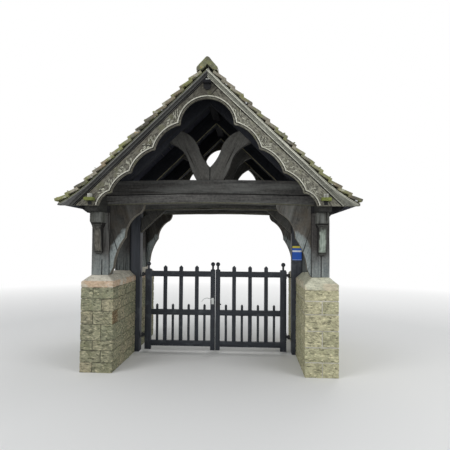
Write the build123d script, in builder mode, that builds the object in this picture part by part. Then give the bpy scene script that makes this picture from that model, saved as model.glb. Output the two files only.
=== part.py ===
from build123d import *
import os
from math import cos, degrees, radians, sin, tan

os.makedirs("parts", exist_ok=True)

# Timber gateway on two dwarf stone walls, with a steep stone-tiled roof and a pair of picket gates.
# It stands on Z = 0, centred on X = 0 and Y = 0, with its front gable towards -Y. Sizes in mm.

# Plan
passage_width = 2330.0
wall_thickness = 405.0
truss_spacing = 1000.0

# Dwarf walls and their copings
wall_height = 1037.0
coping_band = 65.0
coping_rise = 83.0

# Posts, with a plain cap band round three sides of the head
post_side = 216.0
post_height = 780.0
post_cap_height = 35.0
post_cap_overhang = 12.0

# Timbers on the post heads
pad_depth = 90.0
pad_width = 150.0
pad_reach = 180.0
pad_end_chamfer = 75.0
plate_width = 150.0
plate_depth = 200.0
tie_depth = 295.0
tie_thickness = 170.0
tie_camber = 30.0
tie_setback = 10.0
tie_arris = 16.0
tie_groove_height = 112.0
tie_groove_width = 12.0
tie_groove_depth = 10.0

# Roof timbers
rafter_depth = 190.0
rafter_thickness = 130.0
rafter_arris = 12.0
ridge_beam_width = 100.0
ridge_beam_drop = 219.0
strut_thickness = 110.0
strut_setback = 25.0
brace_thickness = 110.0
brace_setback = 20.0

# Curved struts, as points out from the middle and up from the tie beam's top
strut_inner_curve = ((0.0, 194.0), (80.0, 290.0), (139.0, 420.0), (400.0, 662.0))
strut_outer_curve = ((140.0, -10.0), (218.0, 120.0), (264.0, 245.0), (560.0, 518.0))

# Shaped knee braces, as points in from the posts and up from their feet
brace_nose_curve = ((430.0, 915.0), (415.0, 823.0), (382.0, 781.0))
brace_upper_curve = ((260.0, 677.0), (195.0, 475.0))
brace_lower_curve = ((108.0, 325.0), (55.0, 100.0))
brace_toe = 6.0

# Straight braces of the middle truss
middle_brace_foot = 548.0
middle_brace_rise = 394.0
middle_brace_run = 418.0
middle_brace_width = 207.0

# Roof covering, as heights square to the slope above the seat of the tiles
roof_pitch = 44.0
roof_clearance = 59.4
flare_inset = 111.7
flare_length = 528.7
flare_radius = 1870.0
board_thickness = 22.0
tile_head = 24.0
tile_tail = 50.0
tile_courses = 16
ridge_stone_width = 250.0
ridge_stone_side = 38.0
ridge_stone_crown = 44.0
ridge_stone_round = 26.0

# Gables
gable_face = 1534.0
fascia_thickness = 34.0
fascia_depth = 44.0
reed_depth = 14.0
reed_count = 3
reed_step = 8.0
bargeboard_thickness = 35.0
verge_overhang = 25.0
arch_drop = 370.0
cusp_depths = (266.0, 261.0, 256.0, 250.0)
scallop_depths = (250.0, 236.0, 221.0, 208.0)
foot_scallop_width = 214.0
scallop_widths = (328.0, 388.0, 412.0)
cusp_width = 50.0
cusp_bulge = 14.0
bargeboard_foot_drop = 141.0
bargeboard_foot_inset = 97.5
bargeboard_foot_cut = 12.0

# Tusk tenons and their wedges, at the ends of the ridge beam and the wall plates
tenon_thickness = 36.0
tenon_reach = 78.0
wedge_thickness = 30.0
ridge_tenon_width = 90.0
ridge_tenon_drop = 187.0
ridge_wedge_head = 44.0
ridge_wedge_rise = 24.0
ridge_wedge_tail = 76.0
ridge_wedge_drop = 66.0
plate_tenon_width = 110.0
plate_wedge_head = 55.0
plate_wedge_rise = 48.0
plate_wedge_tail = 40.0
plate_wedge_drop = 46.0

# Carved brackets under the overhang of the wall plates
bracket_width = 140.0
bracket_reach = 215.0
bracket_height = 522.0
bracket_tongue_width = 118.0
bracket_neck = (165.0, 235.0)
bracket_nose = ((0.0, 120.0), (32.0, 138.0))
bracket_curve = ((118.0, 205.0), (84.0, 320.0), (38.0, 484.0), (28.0, 512.0))

# Gate posts and the notice plate
gate_post_proud = 57.0
gate_post_depth = 160.0
notice_width = 136.0
notice_height = 204.0
notice_thickness = 3.0
notice_foot = 1354.0

# Gates
hinge_gap = 71.0
meeting_gap = 8.0
gate_clear = 30.0
gate_thickness = 60.0
hanging_stile = 90.0
meeting_stile = 66.0
stile_shoulder = 1205.0
finial_neck = 15.0
finial_ball = 31.0
finial_top = 1312.0
rail_heights = ((83.0, 160.0), (535.0, 613.0), (1096.0, 1176.0))
rail_thickness = 56.0
bar_margin = 88.0
bar_count = 7
bar_thickness = 22.0
picket_width = 56.0
picket_top = 1262.0
dog_bar_width = 35.0
dog_bar_top = 698.0

# Gate ironwork
hinge_heights = (240.0, 1130.0)
pin_radius = 9.0
pin_clearance = 0.05
eye_radius = 18.0
eye_height = 40.0
iron_plate_width = 46.0
iron_plate_height = 100.0
iron_plate_thickness = 5.0
arm_thickness = 14.0
latch_height = 745.0
latch_plate_width = 36.0
latch_plate_height = 90.0
handle_reach = 163.0
handle_rise = 46.0
handle_drop = 10.0
handle_bar = 11.0
handle_thickness = 8.0
catch_reach = 42.0
catch_bar = 12.0
knob_radius = 11.0

# Places worked out from the sizes above
wall_inner = passage_width / 2
post_x = wall_inner + wall_thickness / 2
post_inner = post_x - post_side / 2
post_outer = post_x + post_side / 2
weathering_run = (wall_thickness - post_side) / 2
wall_length = 2 * truss_spacing + post_side + 2 * weathering_run
post_face = truss_spacing + post_side / 2
post_base = wall_height + coping_band + coping_rise
post_top = post_base + post_height
pad_top = post_top + pad_depth
pad_end = post_outer + pad_reach
plate_inner = post_x - plate_width / 2
plate_outer = post_x + plate_width / 2
plate_top = post_top + plate_depth
tie_top = pad_top + tie_depth
slope_cos = cos(radians(roof_pitch))
slope_sin = sin(radians(roof_pitch))
slope_tan = tan(radians(roof_pitch))
roof_crown = plate_top + roof_clearance + plate_outer * slope_tan + board_thickness / slope_cos
arch_crown = roof_crown - arch_drop
flare_start = (plate_outer - flare_inset) / slope_cos
flare_turn = degrees(flare_length / flare_radius)
slope_length = flare_start + flare_length
board_back = gable_face - fascia_thickness - bargeboard_thickness
board_front = gable_face - fascia_thickness
ridge_half = ridge_beam_width / 2
ridge_beam_foot = roof_crown - board_thickness / slope_cos - ridge_beam_drop
ridge_tenon_z = roof_crown - ridge_tenon_drop
plate_tenon_z = post_top + plate_depth * 0.67
bargeboard_foot = plate_top - bargeboard_foot_drop
bargeboard_foot_inner = post_x - bargeboard_foot_inset
gate_post_inner = wall_inner - gate_post_proud
hinge_x = gate_post_inner - hinge_gap / 2
leaf_outer = gate_post_inner - hinge_gap
leaf_inner = meeting_gap / 2
meeting_edge = leaf_inner + meeting_stile
hanging_edge = leaf_outer - hanging_stile
bar_spacing = (hanging_edge - meeting_edge - 2 * bar_margin) / (bar_count - 1)
bar_centres = [meeting_edge + bar_margin + bar_spacing * bar for bar in range(bar_count)]


def save(piece, name):
    """Labels a finished piece and writes it."""
    piece.part.label = name
    export_step(piece.part, f"parts/{name}.step")


def save_pair(right, name):
    """Writes a right-hand piece and its mirror image on the left."""
    save(right, f"right_{name}")
    with BuildPart() as left:
        mirror(right.part, about=Plane.YZ)
    save(left, f"left_{name}")


def truss_centres(thickness, setback):
    """Middles along Y of timbers set back from the outer faces of the front and rear posts."""
    outer = post_face - setback - thickness / 2
    return (-outer, 0, outer)


def crown(height):
    """Level at X = 0 of a layer this far above the seat of the tiles."""
    return roof_crown + height / slope_cos


def straight_slope(along, height):
    """Point this far down the slope from the ridge, and this far above the seat of the tiles."""
    x = along * slope_cos + height * slope_sin
    return (x, roof_crown - along * slope_sin + height * slope_cos)


def on_roof(along, height):
    """The same on the real roof, which sweeps out to a gentler slope at the eaves."""
    if along <= flare_start:
        return straight_slope(along, height)
    pitch = radians(roof_pitch) - (along - flare_start) / flare_radius
    radius = flare_radius - height
    centre_x = flare_start * slope_cos + flare_radius * slope_sin
    centre_z = roof_crown - flare_start * slope_sin + flare_radius * slope_cos
    return (centre_x - radius * sin(pitch), centre_z - radius * cos(pitch))


def roof_layer(low, high):
    """Right half of a layer of the roof, between two heights above the seat of the tiles."""
    with BuildSketch(Plane.XZ) as layer:
        with BuildLine():
            lower = Line((0, crown(low)), on_roof(flare_start, low))
            lower_flare = JernArc(lower @ 1, lower % 1, flare_radius - low, flare_turn)
            upper = Line((0, crown(high)), on_roof(flare_start, high))
            upper_flare = JernArc(upper @ 1, upper % 1, flare_radius - high, flare_turn)
            Line(lower_flare @ 1, upper_flare @ 1)
            Line(lower @ 0, upper @ 0)
        make_face()
    return layer.sketch_local


def gable_strip(low, high):
    """Right half of a straight strip of a gable, ending level with the foot of the gable boards."""
    with BuildSketch(Plane.XZ) as strip:
        with BuildLine():
            Polyline(
                (0, crown(low)),
                ((crown(low) - bargeboard_foot) / slope_tan, bargeboard_foot),
                ((crown(high) - bargeboard_foot) / slope_tan, bargeboard_foot),
                (0, crown(high)),
                close=True,
            )
        make_face()
    return strip.sketch_local


def plank(outline, low_y, high_y):
    """Extrudes an outline drawn in XZ between two places along Y, into the part being built."""
    face = Plane.XZ.offset(-low_y) * outline
    extrude(face, amount=high_y - low_y, dir=(0, 1, 0))


# Dwarf walls, housed for the gate posts
with BuildPart() as side_wall:
    with Locations((post_x, 0, 0)):
        Box(wall_thickness, wall_length, wall_height, align=(Align.CENTER, Align.CENTER, Align.MIN))
    with Locations((wall_inner, 0, 0)):
        Box(
            post_inner - wall_inner,
            gate_post_depth,
            wall_height,
            align=(Align.MIN, Align.CENTER, Align.MIN),
            mode=Mode.SUBTRACT,
        )
save_pair(side_wall, "side_wall")

# Copings: a square band with weathered edges all round, up to the foot of the posts
with BuildPart() as coping:
    with BuildSketch(Plane.XY.offset(wall_height)):
        with Locations((post_x, 0)):
            Rectangle(wall_thickness, wall_length)
    extrude(amount=coping_band)
    with BuildSketch(Plane.XY.offset(wall_height + coping_band)):
        with Locations((post_x, 0)):
            Rectangle(wall_thickness, wall_length)
    with BuildSketch(Plane.XY.offset(post_base)):
        with Locations((post_x, 0)):
            Rectangle(post_side, wall_length - 2 * weathering_run)
    loft()
    with BuildSketch(Plane.XY.offset(wall_height)):
        with Locations((wall_inner, 0)):
            Rectangle(
                post_inner - wall_inner, gate_post_depth, align=(Align.MIN, Align.CENTER)
            )
    extrude(amount=coping_band + coping_rise, mode=Mode.SUBTRACT)
save_pair(coping, "coping")

# Posts, three to a side
with BuildPart() as posts:
    for centre in (-truss_spacing, 0, truss_spacing):
        with BuildSketch(Plane.XY.offset(post_base)):
            with Locations((post_x, centre)):
                Rectangle(post_side, post_side)
        extrude(amount=post_height)
        with BuildSketch(Plane.XY.offset(post_top - post_cap_height)):
            with Locations((post_inner, centre)):
                Rectangle(
                    post_side + post_cap_overhang,
                    post_side + 2 * post_cap_overhang,
                    align=(Align.MIN, Align.CENTER),
                )
        extrude(amount=post_cap_height)
save_pair(posts, "posts")

# Pads on the post heads, which reach out under the eaves
with BuildPart() as pads:
    with BuildSketch(Plane.XZ) as pad_outline:
        with BuildLine():
            Polyline(
                (post_inner, post_top),
                (pad_end - pad_reach * 0.6, post_top),
                (pad_end, post_top + pad_end_chamfer),
                (pad_end, pad_top),
                (post_inner, pad_top),
                close=True,
            )
        make_face()
    for centre in truss_centres(pad_width, tie_setback + (tie_thickness - pad_width) / 2):
        plank(pad_outline.sketch_local, centre - pad_width / 2, centre + pad_width / 2)
    mirror(about=Plane.YZ)
save(pads, "eaves_pads")

# Wall plates, notched over the pads and ending in tenons through the gable boards
with BuildPart() as wall_plate:
    with Locations((post_x, 0, post_top)):
        Box(plate_width, 2 * board_back, plate_depth, align=(Align.CENTER, Align.CENTER, Align.MIN))
    with Locations((post_x, 0, plate_tenon_z)):
        Box(plate_tenon_width, 2 * (board_front + tenon_reach), tenon_thickness)
    add(pads.part, mode=Mode.SUBTRACT)
    with BuildSketch(Plane.XZ) as plate_wedge:
        with BuildLine():
            top = plate_tenon_z + tenon_thickness / 2
            foot = plate_tenon_z - tenon_thickness / 2
            Polyline(
                (post_x - plate_wedge_head / 2, top + plate_wedge_rise),
                (post_x + plate_wedge_head / 2, top + plate_wedge_rise),
                (post_x + plate_wedge_head / 2, top),
                (post_x + plate_wedge_tail / 2, foot),
                (post_x + plate_wedge_tail / 2, foot - plate_wedge_drop),
                (post_x - plate_wedge_tail / 2, foot - plate_wedge_drop),
                (post_x - plate_wedge_tail / 2, foot),
                (post_x - plate_wedge_head / 2, top),
                close=True,
            )
        make_face()
    with BuildPart(mode=Mode.PRIVATE) as plate_wedges:
        for low in (-board_front - wedge_thickness, board_front):
            plank(plate_wedge.sketch_local, low, low + wedge_thickness)
    add(plate_wedges.part, mode=Mode.SUBTRACT)
save_pair(wall_plate, "wall_plate")

# Cambered tie beams, cogged over the wall plates, their ends cut to the slope of the roof
with BuildSketch(Plane.XZ) as tie_outline:
    with BuildLine():
        soffit = ThreePointArc((-post_inner, pad_top), (0, pad_top + tie_camber), (post_inner, pad_top))
        back = ThreePointArc((-plate_outer, tie_top), (0, tie_top + tie_camber), (plate_outer, tie_top))
        Polyline(soffit @ 1, (plate_outer, pad_top), back @ 1)
        Polyline(soffit @ 0, (-plate_outer, pad_top), back @ 0)
    make_face()
    roof_above = roof_layer(-board_thickness, 2 * rafter_depth)
    add(roof_above, mode=Mode.SUBTRACT)
    add(mirror(roof_above, about=Plane.YZ, mode=Mode.PRIVATE), mode=Mode.SUBTRACT)

with BuildSketch(Plane.XZ) as tie_groove:
    groove_foot = pad_top + tie_groove_height
    with BuildLine():
        lower = ThreePointArc(
            (-plate_outer, groove_foot), (0, groove_foot + tie_camber), (plate_outer, groove_foot)
        )
        upper = ThreePointArc(
            (-plate_outer, groove_foot + tie_groove_width),
            (0, groove_foot + tie_groove_width + tie_camber),
            (plate_outer, groove_foot + tie_groove_width),
        )
        Line(lower @ 0, upper @ 0)
        Line(lower @ 1, upper @ 1)
    make_face()

tie_centres = truss_centres(tie_thickness, tie_setback)
for place, centre in zip(("front", "middle", "rear"), tie_centres):
    with BuildPart() as tie_beam:
        front = centre - tie_thickness / 2
        back_face = centre + tie_thickness / 2
        plank(tie_outline.sketch_local, front, back_face)
        arcs = tie_beam.edges().filter_by(GeomType.CIRCLE)
        chamfer(arcs.group_by(Axis.Z)[0], tie_arris)
        with BuildPart(mode=Mode.PRIVATE) as grooves:
            plank(tie_groove.sketch_local, front, front + tie_groove_depth)
            plank(tie_groove.sketch_local, back_face - tie_groove_depth, back_face)
        add(grooves.part, mode=Mode.SUBTRACT)
        with Locations((post_x, 0, 0), (-post_x, 0, 0)):
            Box(plate_width, 4 * truss_spacing, 2 * plate_top, mode=Mode.SUBTRACT)
    save(tie_beam, f"{place}_tie_beam")

# Ridge beam, its back cut to both slopes, ending in tenons through the gable boards
with BuildPart() as ridge_beam:
    with BuildSketch(Plane.XZ) as ridge_outline:
        with BuildLine():
            shoulder = crown(-board_thickness) - ridge_half * slope_tan
            Polyline(
                (-ridge_half, ridge_beam_foot),
                (ridge_half, ridge_beam_foot),
                (ridge_half, shoulder),
                (0, crown(-board_thickness)),
                (-ridge_half, shoulder),
                close=True,
            )
        make_face()
    plank(ridge_outline.sketch_local, -board_back, board_back)
    with Locations((0, 0, ridge_tenon_z)):
        Box(ridge_tenon_width, 2 * (board_front + tenon_reach), tenon_thickness)
    with BuildSketch(Plane.XZ) as ridge_wedge:
        top = ridge_tenon_z + tenon_thickness / 2
        foot = ridge_tenon_z - tenon_thickness / 2
        with BuildLine():
            Polyline(
                (-ridge_wedge_tail / 2, foot),
                (-ridge_wedge_head / 2, foot),
                (-ridge_wedge_head / 2, top + ridge_wedge_rise),
                (ridge_wedge_head / 2, top + ridge_wedge_rise),
                (ridge_wedge_head / 2, foot),
                (ridge_wedge_tail / 2, foot),
            )
            ThreePointArc(
                (ridge_wedge_tail / 2, foot),
                (0, foot - ridge_wedge_drop),
                (-ridge_wedge_tail / 2, foot),
            )
        make_face()
    with BuildPart(mode=Mode.PRIVATE) as ridge_wedges:
        for low in (-board_front - wedge_thickness, board_front):
            plank(ridge_wedge.sketch_local, low, low + wedge_thickness)
    add(ridge_wedges.part, mode=Mode.SUBTRACT)
save(ridge_beam, "ridge_beam")

# Wedges that hold all the tenons
with BuildPart() as tenon_wedges:
    add(ridge_wedges.part)
    add(plate_wedges.part)
    mirror(plate_wedges.part, about=Plane.YZ)
save(tenon_wedges, "tenon_wedges")

# Principal rafters, which meet under the ridge beam and stand on the tie beams
with BuildPart() as rafters:
    with BuildSketch(Plane.XZ) as rafter_outline:
        soffit_depth = board_thickness + rafter_depth
        with BuildLine():
            Polyline(
                (0, crown(-board_thickness)),
                (plate_inner, crown(-board_thickness) - plate_inner * slope_tan),
                (plate_inner, crown(-soffit_depth) - plate_inner * slope_tan),
                (0, crown(-soffit_depth)),
                close=True,
            )
        make_face()
        add(tie_outline.sketch_local, mode=Mode.SUBTRACT)
        add(ridge_outline.sketch_local, mode=Mode.SUBTRACT)
        with Locations((0, pad_top + tie_camber)):
            Rectangle(
                2 * plate_outer, tie_depth, align=(Align.CENTER, Align.MAX), mode=Mode.SUBTRACT
            )
    for centre in truss_centres(rafter_thickness, strut_setback):
        plank(rafter_outline.sketch_local, centre - rafter_thickness / 2, centre + rafter_thickness / 2)
    soffits = rafters.faces().filter_by(lambda face: face.normal_at().Z < -0.5)
    chamfer(soffits.edges().filter_by(lambda edge: abs((edge % 0.5).Z) > 0.5), rafter_arris)
save_pair(rafters, "rafters")

# Curved struts that rise from the middle of each tie beam to the rafters
with BuildPart() as struts:
    with BuildSketch(Plane.XZ) as strut_outline:
        inner = [(out, tie_top + up) for out, up in strut_inner_curve]
        outer = [(out, tie_top + up) for out, up in strut_outer_curve]
        with BuildLine():
            inner_low = ThreePointArc(*inner[:3])
            inner_high = TangentArc(inner[2], inner[3], tangent=inner_low % 1)
            outer_low = ThreePointArc(*outer[:3])
            outer_high = TangentArc(outer[2], outer[3], tangent=outer_low % 1)
            Polyline(inner[0], (0, outer[0][1]), outer[0])
            Line(inner_high @ 1, outer_high @ 1)
        make_face()
        add(tie_outline.sketch_local, mode=Mode.SUBTRACT)
        add(rafter_outline.sketch_local, mode=Mode.SUBTRACT)
    for centre in truss_centres(strut_thickness, strut_setback + (rafter_thickness - strut_thickness) / 2):
        plank(strut_outline.sketch_local, centre - strut_thickness / 2, centre + strut_thickness / 2)
save_pair(struts, "struts")

# Shaped knee braces in the end trusses, with an ogee nib between two hollows
brace_centres = truss_centres(brace_thickness, brace_setback)
with BuildPart() as arched_braces:
    with BuildSketch(Plane.XZ) as brace_outline:
        nose, upper, lower = [
            [(post_inner - inward, post_base + up) for inward, up in curve]
            for curve in (brace_nose_curve, brace_upper_curve, brace_lower_curve)
        ]
        with BuildLine():
            ThreePointArc(*nose)
            ThreePointArc(nose[-1], *upper)
            ThreePointArc(upper[-1], *lower)
            Polyline(
                lower[-1],
                (post_inner - brace_toe, post_base),
                (post_inner, post_base),
                (post_inner, nose[0][1]),
                nose[0],
            )
        make_face()
        add(tie_outline.sketch_local, mode=Mode.SUBTRACT)
    for centre in (brace_centres[0], brace_centres[2]):
        plank(brace_outline.sketch_local, centre - brace_thickness / 2, centre + brace_thickness / 2)
    mirror(about=Plane.YZ)
save(arched_braces, "arched_braces")

# Gate posts, housed in the walls and up against the middle posts
with BuildPart() as gate_posts:
    with BuildSketch() as gate_post_section:
        with Locations((gate_post_inner, 0)):
            Rectangle(
                post_inner - gate_post_inner, gate_post_depth, align=(Align.MIN, Align.CENTER)
            )
    extrude(amount=pad_top + tie_camber)
    with BuildPart(mode=Mode.PRIVATE) as middle_tie:
        plank(tie_outline.sketch_local, -tie_thickness / 2, tie_thickness / 2)
    add(middle_tie.part, mode=Mode.SUBTRACT)
    mirror(about=Plane.YZ)
save(gate_posts, "gate_posts")

# Straight braces in the middle truss, from the gate posts to the tie beam
with BuildPart() as straight_braces:
    with BuildSketch(Plane.XZ) as middle_brace_outline:
        foot = post_base + middle_brace_foot
        head_x = gate_post_inner - middle_brace_run
        with BuildLine():
            Polyline(
                (gate_post_inner, foot),
                (head_x, foot + middle_brace_rise),
                (head_x + middle_brace_width, foot + middle_brace_rise),
                (gate_post_inner, foot + middle_brace_width),
                close=True,
            )
        make_face()
        add(tie_outline.sketch_local, mode=Mode.SUBTRACT)
    plank(middle_brace_outline.sketch_local, -brace_thickness / 2, brace_thickness / 2)
    mirror(about=Plane.YZ)
save(straight_braces, "straight_braces")

# Carved brackets on the outer faces of the end posts, under the wall plates
with BuildPart() as brackets:
    with BuildSketch(Plane.YZ.offset(post_x - bracket_width / 2)) as bracket_outline:
        with BuildLine():
            face = post_face
            front = face + bracket_reach
            nose = Polyline(
                (face + post_cap_overhang, post_top - post_cap_height),
                (face + post_cap_overhang, post_top),
                (front, post_top),
                *[(front - inward, post_top - down) for inward, down in bracket_nose],
            )
            bend, waist, heel, ball = [
                (face + out, post_top - down) for out, down in bracket_curve
            ]
            hollow = ThreePointArc(nose @ 1, bend, waist)
            TangentArc(waist, heel, tangent=hollow % 1)
            ThreePointArc(heel, ball, (face, post_top - bracket_height))
            Polyline(
                (face, post_top - bracket_height), (face, post_top - post_cap_height), nose @ 0
            )
        make_face()
    extrude(amount=bracket_width)
    with BuildSketch(Plane.XZ) as bracket_front:
        neck_high, neck_low = [post_top - down for down in bracket_neck]
        drop_top = post_top - bracket_height + bracket_tongue_width / 2
        with BuildLine():
            drop = ThreePointArc(
                (post_x - bracket_tongue_width / 2, drop_top),
                (post_x, post_top - bracket_height),
                (post_x + bracket_tongue_width / 2, drop_top),
            )
            Polyline(
                drop @ 1,
                (post_x + bracket_tongue_width / 2, neck_low),
                (post_x + bracket_width / 2, neck_high),
                (post_x + bracket_width / 2, post_top),
                (post_x - bracket_width / 2, post_top),
                (post_x - bracket_width / 2, neck_high),
                (post_x - bracket_tongue_width / 2, neck_low),
                drop @ 0,
            )
        make_face()
    extrude(bracket_front.sketch_local, amount=4 * bracket_height, dir=(0, 1, 0), mode=Mode.INTERSECT)
    mirror(about=Plane.XZ)
    mirror(about=Plane.YZ)
save(brackets, "carved_brackets")

# Roof boards between the gables, and the stepped courses of stone tiles on them
with BuildPart() as roof_boards:
    plank(roof_layer(-board_thickness, 0), -board_back, board_back)
save_pair(roof_boards, "roof_boards")

ridge_bed = (ridge_stone_width / 2 - tile_tail * slope_sin) / slope_cos
tile_gauge = (slope_length - ridge_bed) / tile_courses
with BuildPart() as roof_tiles:
    with BuildSketch(Plane.XZ) as tile_section:
        with BuildLine():
            seat = Line((0, crown(0)), on_roof(flare_start, 0))
            seat_flare = JernArc(seat @ 1, seat % 1, flare_radius, flare_turn)
            steps = [(0, crown(tile_tail)), on_roof(ridge_bed, tile_tail)]
            for course in range(tile_courses):
                head = ridge_bed + course * tile_gauge
                steps.append(on_roof(head, tile_head))
                steps.append(on_roof(head + tile_gauge, tile_tail))
            Polyline(*steps, seat_flare @ 1)
            Line(seat @ 0, steps[0])
        make_face()
    tile_edge = gable_face + verge_overhang
    plank(tile_section.sketch_local, -tile_edge, tile_edge)
save_pair(roof_tiles, "roof_tiles")

# Ridge stones bedded on the top courses
with BuildPart() as ridge_stones:
    with BuildSketch(Plane.XZ) as ridge_stone_section:
        half = ridge_stone_width / 2
        bed_edge = crown(tile_tail) - half * slope_tan
        crest = crown(tile_tail) + ridge_stone_crown
        with BuildLine():
            Polyline(
                (-ridge_stone_round, crest - ridge_stone_round / 2),
                (-half, bed_edge + ridge_stone_side),
                (-half, bed_edge),
                (0, crown(tile_tail)),
                (half, bed_edge),
                (half, bed_edge + ridge_stone_side),
                (ridge_stone_round, crest - ridge_stone_round / 2),
            )
            ThreePointArc(
                (ridge_stone_round, crest - ridge_stone_round / 2),
                (0, crest),
                (-ridge_stone_round, crest - ridge_stone_round / 2),
            )
        make_face()
    plank(ridge_stone_section.sketch_local, -tile_edge, tile_edge)
save(ridge_stones, "ridge_stones")

# Scalloped gable boards: an arch at the top, then scallops between rounded cusps down the slope
foot_along = bargeboard_foot_inner * slope_cos + (roof_crown - bargeboard_foot) * slope_sin
cusp_places = [foot_along - foot_scallop_width]
for width in scallop_widths:
    cusp_places.insert(0, cusp_places[0] - width)
cusps = list(zip(cusp_places, reversed(cusp_depths)))
hollows = list(reversed(scallop_depths))

with BuildSketch(Plane.XZ) as gable_half:
    with BuildLine():
        edge = Line((0, roof_crown), on_roof(flare_start, 0))
        edge_flare = JernArc(edge @ 1, edge % 1, flare_radius, flare_turn)
        first_place, first_depth = cusps[0]
        arch_end = straight_slope(first_place - cusp_width / 2, -first_depth)
        arch = TangentArc((0, arch_crown), arch_end, tangent=(1, 0))
        last_point = arch @ 1
        foot_corner = (bargeboard_foot_inner, bargeboard_foot)
        for number, (cusp, depth) in enumerate(cusps):
            nib = ThreePointArc(
                last_point,
                straight_slope(cusp, -depth - cusp_bulge),
                straight_slope(cusp + cusp_width / 2, -depth),
            )
            if number + 1 < len(cusps):
                next_cusp, next_depth = cusps[number + 1]
                hollow_end = straight_slope(next_cusp - cusp_width / 2, -next_depth)
            else:
                next_cusp = foot_along
                hollow_end = foot_corner
            scallop = ThreePointArc(
                nib @ 1,
                straight_slope((cusp + next_cusp) / 2, -hollows[number]),
                hollow_end,
            )
            last_point = scallop @ 1
        foot_end = (edge_flare @ 1).X - bargeboard_foot_cut
        Polyline(last_point, (foot_end, bargeboard_foot), edge_flare @ 1)
        Line(edge @ 0, arch @ 0)
    make_face()

# The left board runs on through the apex, as far as a joint square to the right board
with BuildSketch(Plane.XZ) as apex_piece:
    joint_reach = (roof_crown - arch_crown) / (2 * slope_tan)
    with BuildLine():
        Polyline(
            (0, arch_crown),
            (joint_reach, (roof_crown + arch_crown) / 2),
            (0, roof_crown),
            close=True,
        )
    make_face()
with BuildSketch(Plane.XZ) as mortises:
    with Locations((0, ridge_tenon_z)):
        Rectangle(ridge_tenon_width, tenon_thickness)
    with Locations((post_x, plate_tenon_z), (-post_x, plate_tenon_z)):
        Rectangle(plate_tenon_width, tenon_thickness)
with BuildSketch(Plane.XZ) as right_gable:
    add(gable_half.sketch_local)
    add(apex_piece.sketch_local, mode=Mode.SUBTRACT)
    add(mortises.sketch_local, mode=Mode.SUBTRACT)
with BuildSketch(Plane.XZ) as left_gable:
    add(mirror(gable_half.sketch_local, about=Plane.YZ, mode=Mode.PRIVATE))
    add(apex_piece.sketch_local)
    add(mortises.sketch_local, mode=Mode.SUBTRACT)

for side, outline in (("left", left_gable), ("right", right_gable)):
    with BuildPart() as front_bargeboard:
        plank(outline.sketch_local, -board_front, -board_back)
    save(front_bargeboard, f"front_{side}_bargeboard")
    with BuildPart() as rear_bargeboard:
        mirror(front_bargeboard.part, about=Plane.XZ)
    save(rear_bargeboard, f"rear_{side}_bargeboard")

# Verge mouldings planted on the gable boards: straight reeds that step back, below a plain fascia
# that widens at the eaves to follow the sweep of the roof
with BuildPart() as verge_mouldings:
    with BuildSketch(Plane.XZ) as fascia:
        with BuildLine():
            edge = Line((0, roof_crown), on_roof(flare_start, 0))
            edge_flare = JernArc(edge @ 1, edge % 1, flare_radius, flare_turn)
            Polyline(
                edge_flare @ 1,
                (foot_end, bargeboard_foot),
                ((crown(-fascia_depth) - bargeboard_foot) / slope_tan, bargeboard_foot),
                (0, crown(-fascia_depth)),
                edge @ 0,
            )
        make_face()
    plank(fascia.sketch_local, -gable_face, -board_front)
    for reed in range(reed_count):
        reed_top = -fascia_depth - reed * reed_depth
        reed_face = -gable_face + (reed + 1) * reed_step
        plank(gable_strip(reed_top - reed_depth, reed_top), reed_face, -board_front)
    mirror(about=Plane.XZ)
save_pair(verge_mouldings, "verge_mouldings")

# Notice plate on the front of the right gate post
with BuildPart() as notice_plate:
    with BuildSketch(Plane.XZ.offset(gate_post_depth / 2)):
        with Locations(((gate_post_inner + post_inner) / 2, notice_foot + notice_height / 2)):
            RectangleRounded(notice_width, notice_height, 8)
    extrude(amount=notice_thickness)
save(notice_plate, "notice_plate")

# Gate leaf: stiles with turned finials
with BuildPart() as gate_stiles:
    with BuildSketch(Plane.XY.offset(gate_clear)):
        with Locations(((leaf_inner + meeting_edge) / 2, 0)):
            Rectangle(meeting_stile, gate_thickness)
        with Locations(((leaf_outer + hanging_edge) / 2, 0)):
            Rectangle(hanging_stile, gate_thickness)
    extrude(amount=stile_shoulder - gate_clear)
    chamfer(gate_stiles.faces().sort_by(Axis.Z)[-2:].edges(), 9)
    for centre in ((leaf_inner + meeting_edge) / 2, (leaf_outer + hanging_edge) / 2):
        with BuildSketch(Plane.XZ) as finial:
            ball_z = finial_top - finial_ball
            with BuildLine():
                side_line = Polyline(
                    (centre, stile_shoulder), (centre + finial_neck, stile_shoulder)
                )
                neck_top = ball_z - (finial_ball**2 - finial_neck**2) ** 0.5
                neck = Line(side_line @ 1, (centre + finial_neck, neck_top))
                ball = ThreePointArc(
                    neck @ 1, (centre + finial_ball, ball_z), (centre, finial_top)
                )
                Line(ball @ 1, side_line @ 0)
            make_face()
        revolve(axis=Axis((centre, 0, 0), (0, 0, 1)))
save_pair(gate_stiles, "gate_stiles")

# Pickets between the stiles: tall ones and dog bars by turns, with pointed tops
with BuildPart() as gate_pickets:
    for number, centre in enumerate(bar_centres):
        width, top = (picket_width, picket_top) if number % 2 else (dog_bar_width, dog_bar_top)
        with BuildSketch(Plane.XZ) as bar_outline:
            with BuildLine():
                Polyline(
                    (centre - width / 2, rail_heights[0][0]),
                    (centre + width / 2, rail_heights[0][0]),
                    (centre + width / 2, top - width / 2),
                    (centre, top),
                    (centre - width / 2, top - width / 2),
                    close=True,
                )
            make_face()
        plank(bar_outline.sketch_local, -bar_thickness / 2, bar_thickness / 2)
save_pair(gate_pickets, "gate_pickets")

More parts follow.
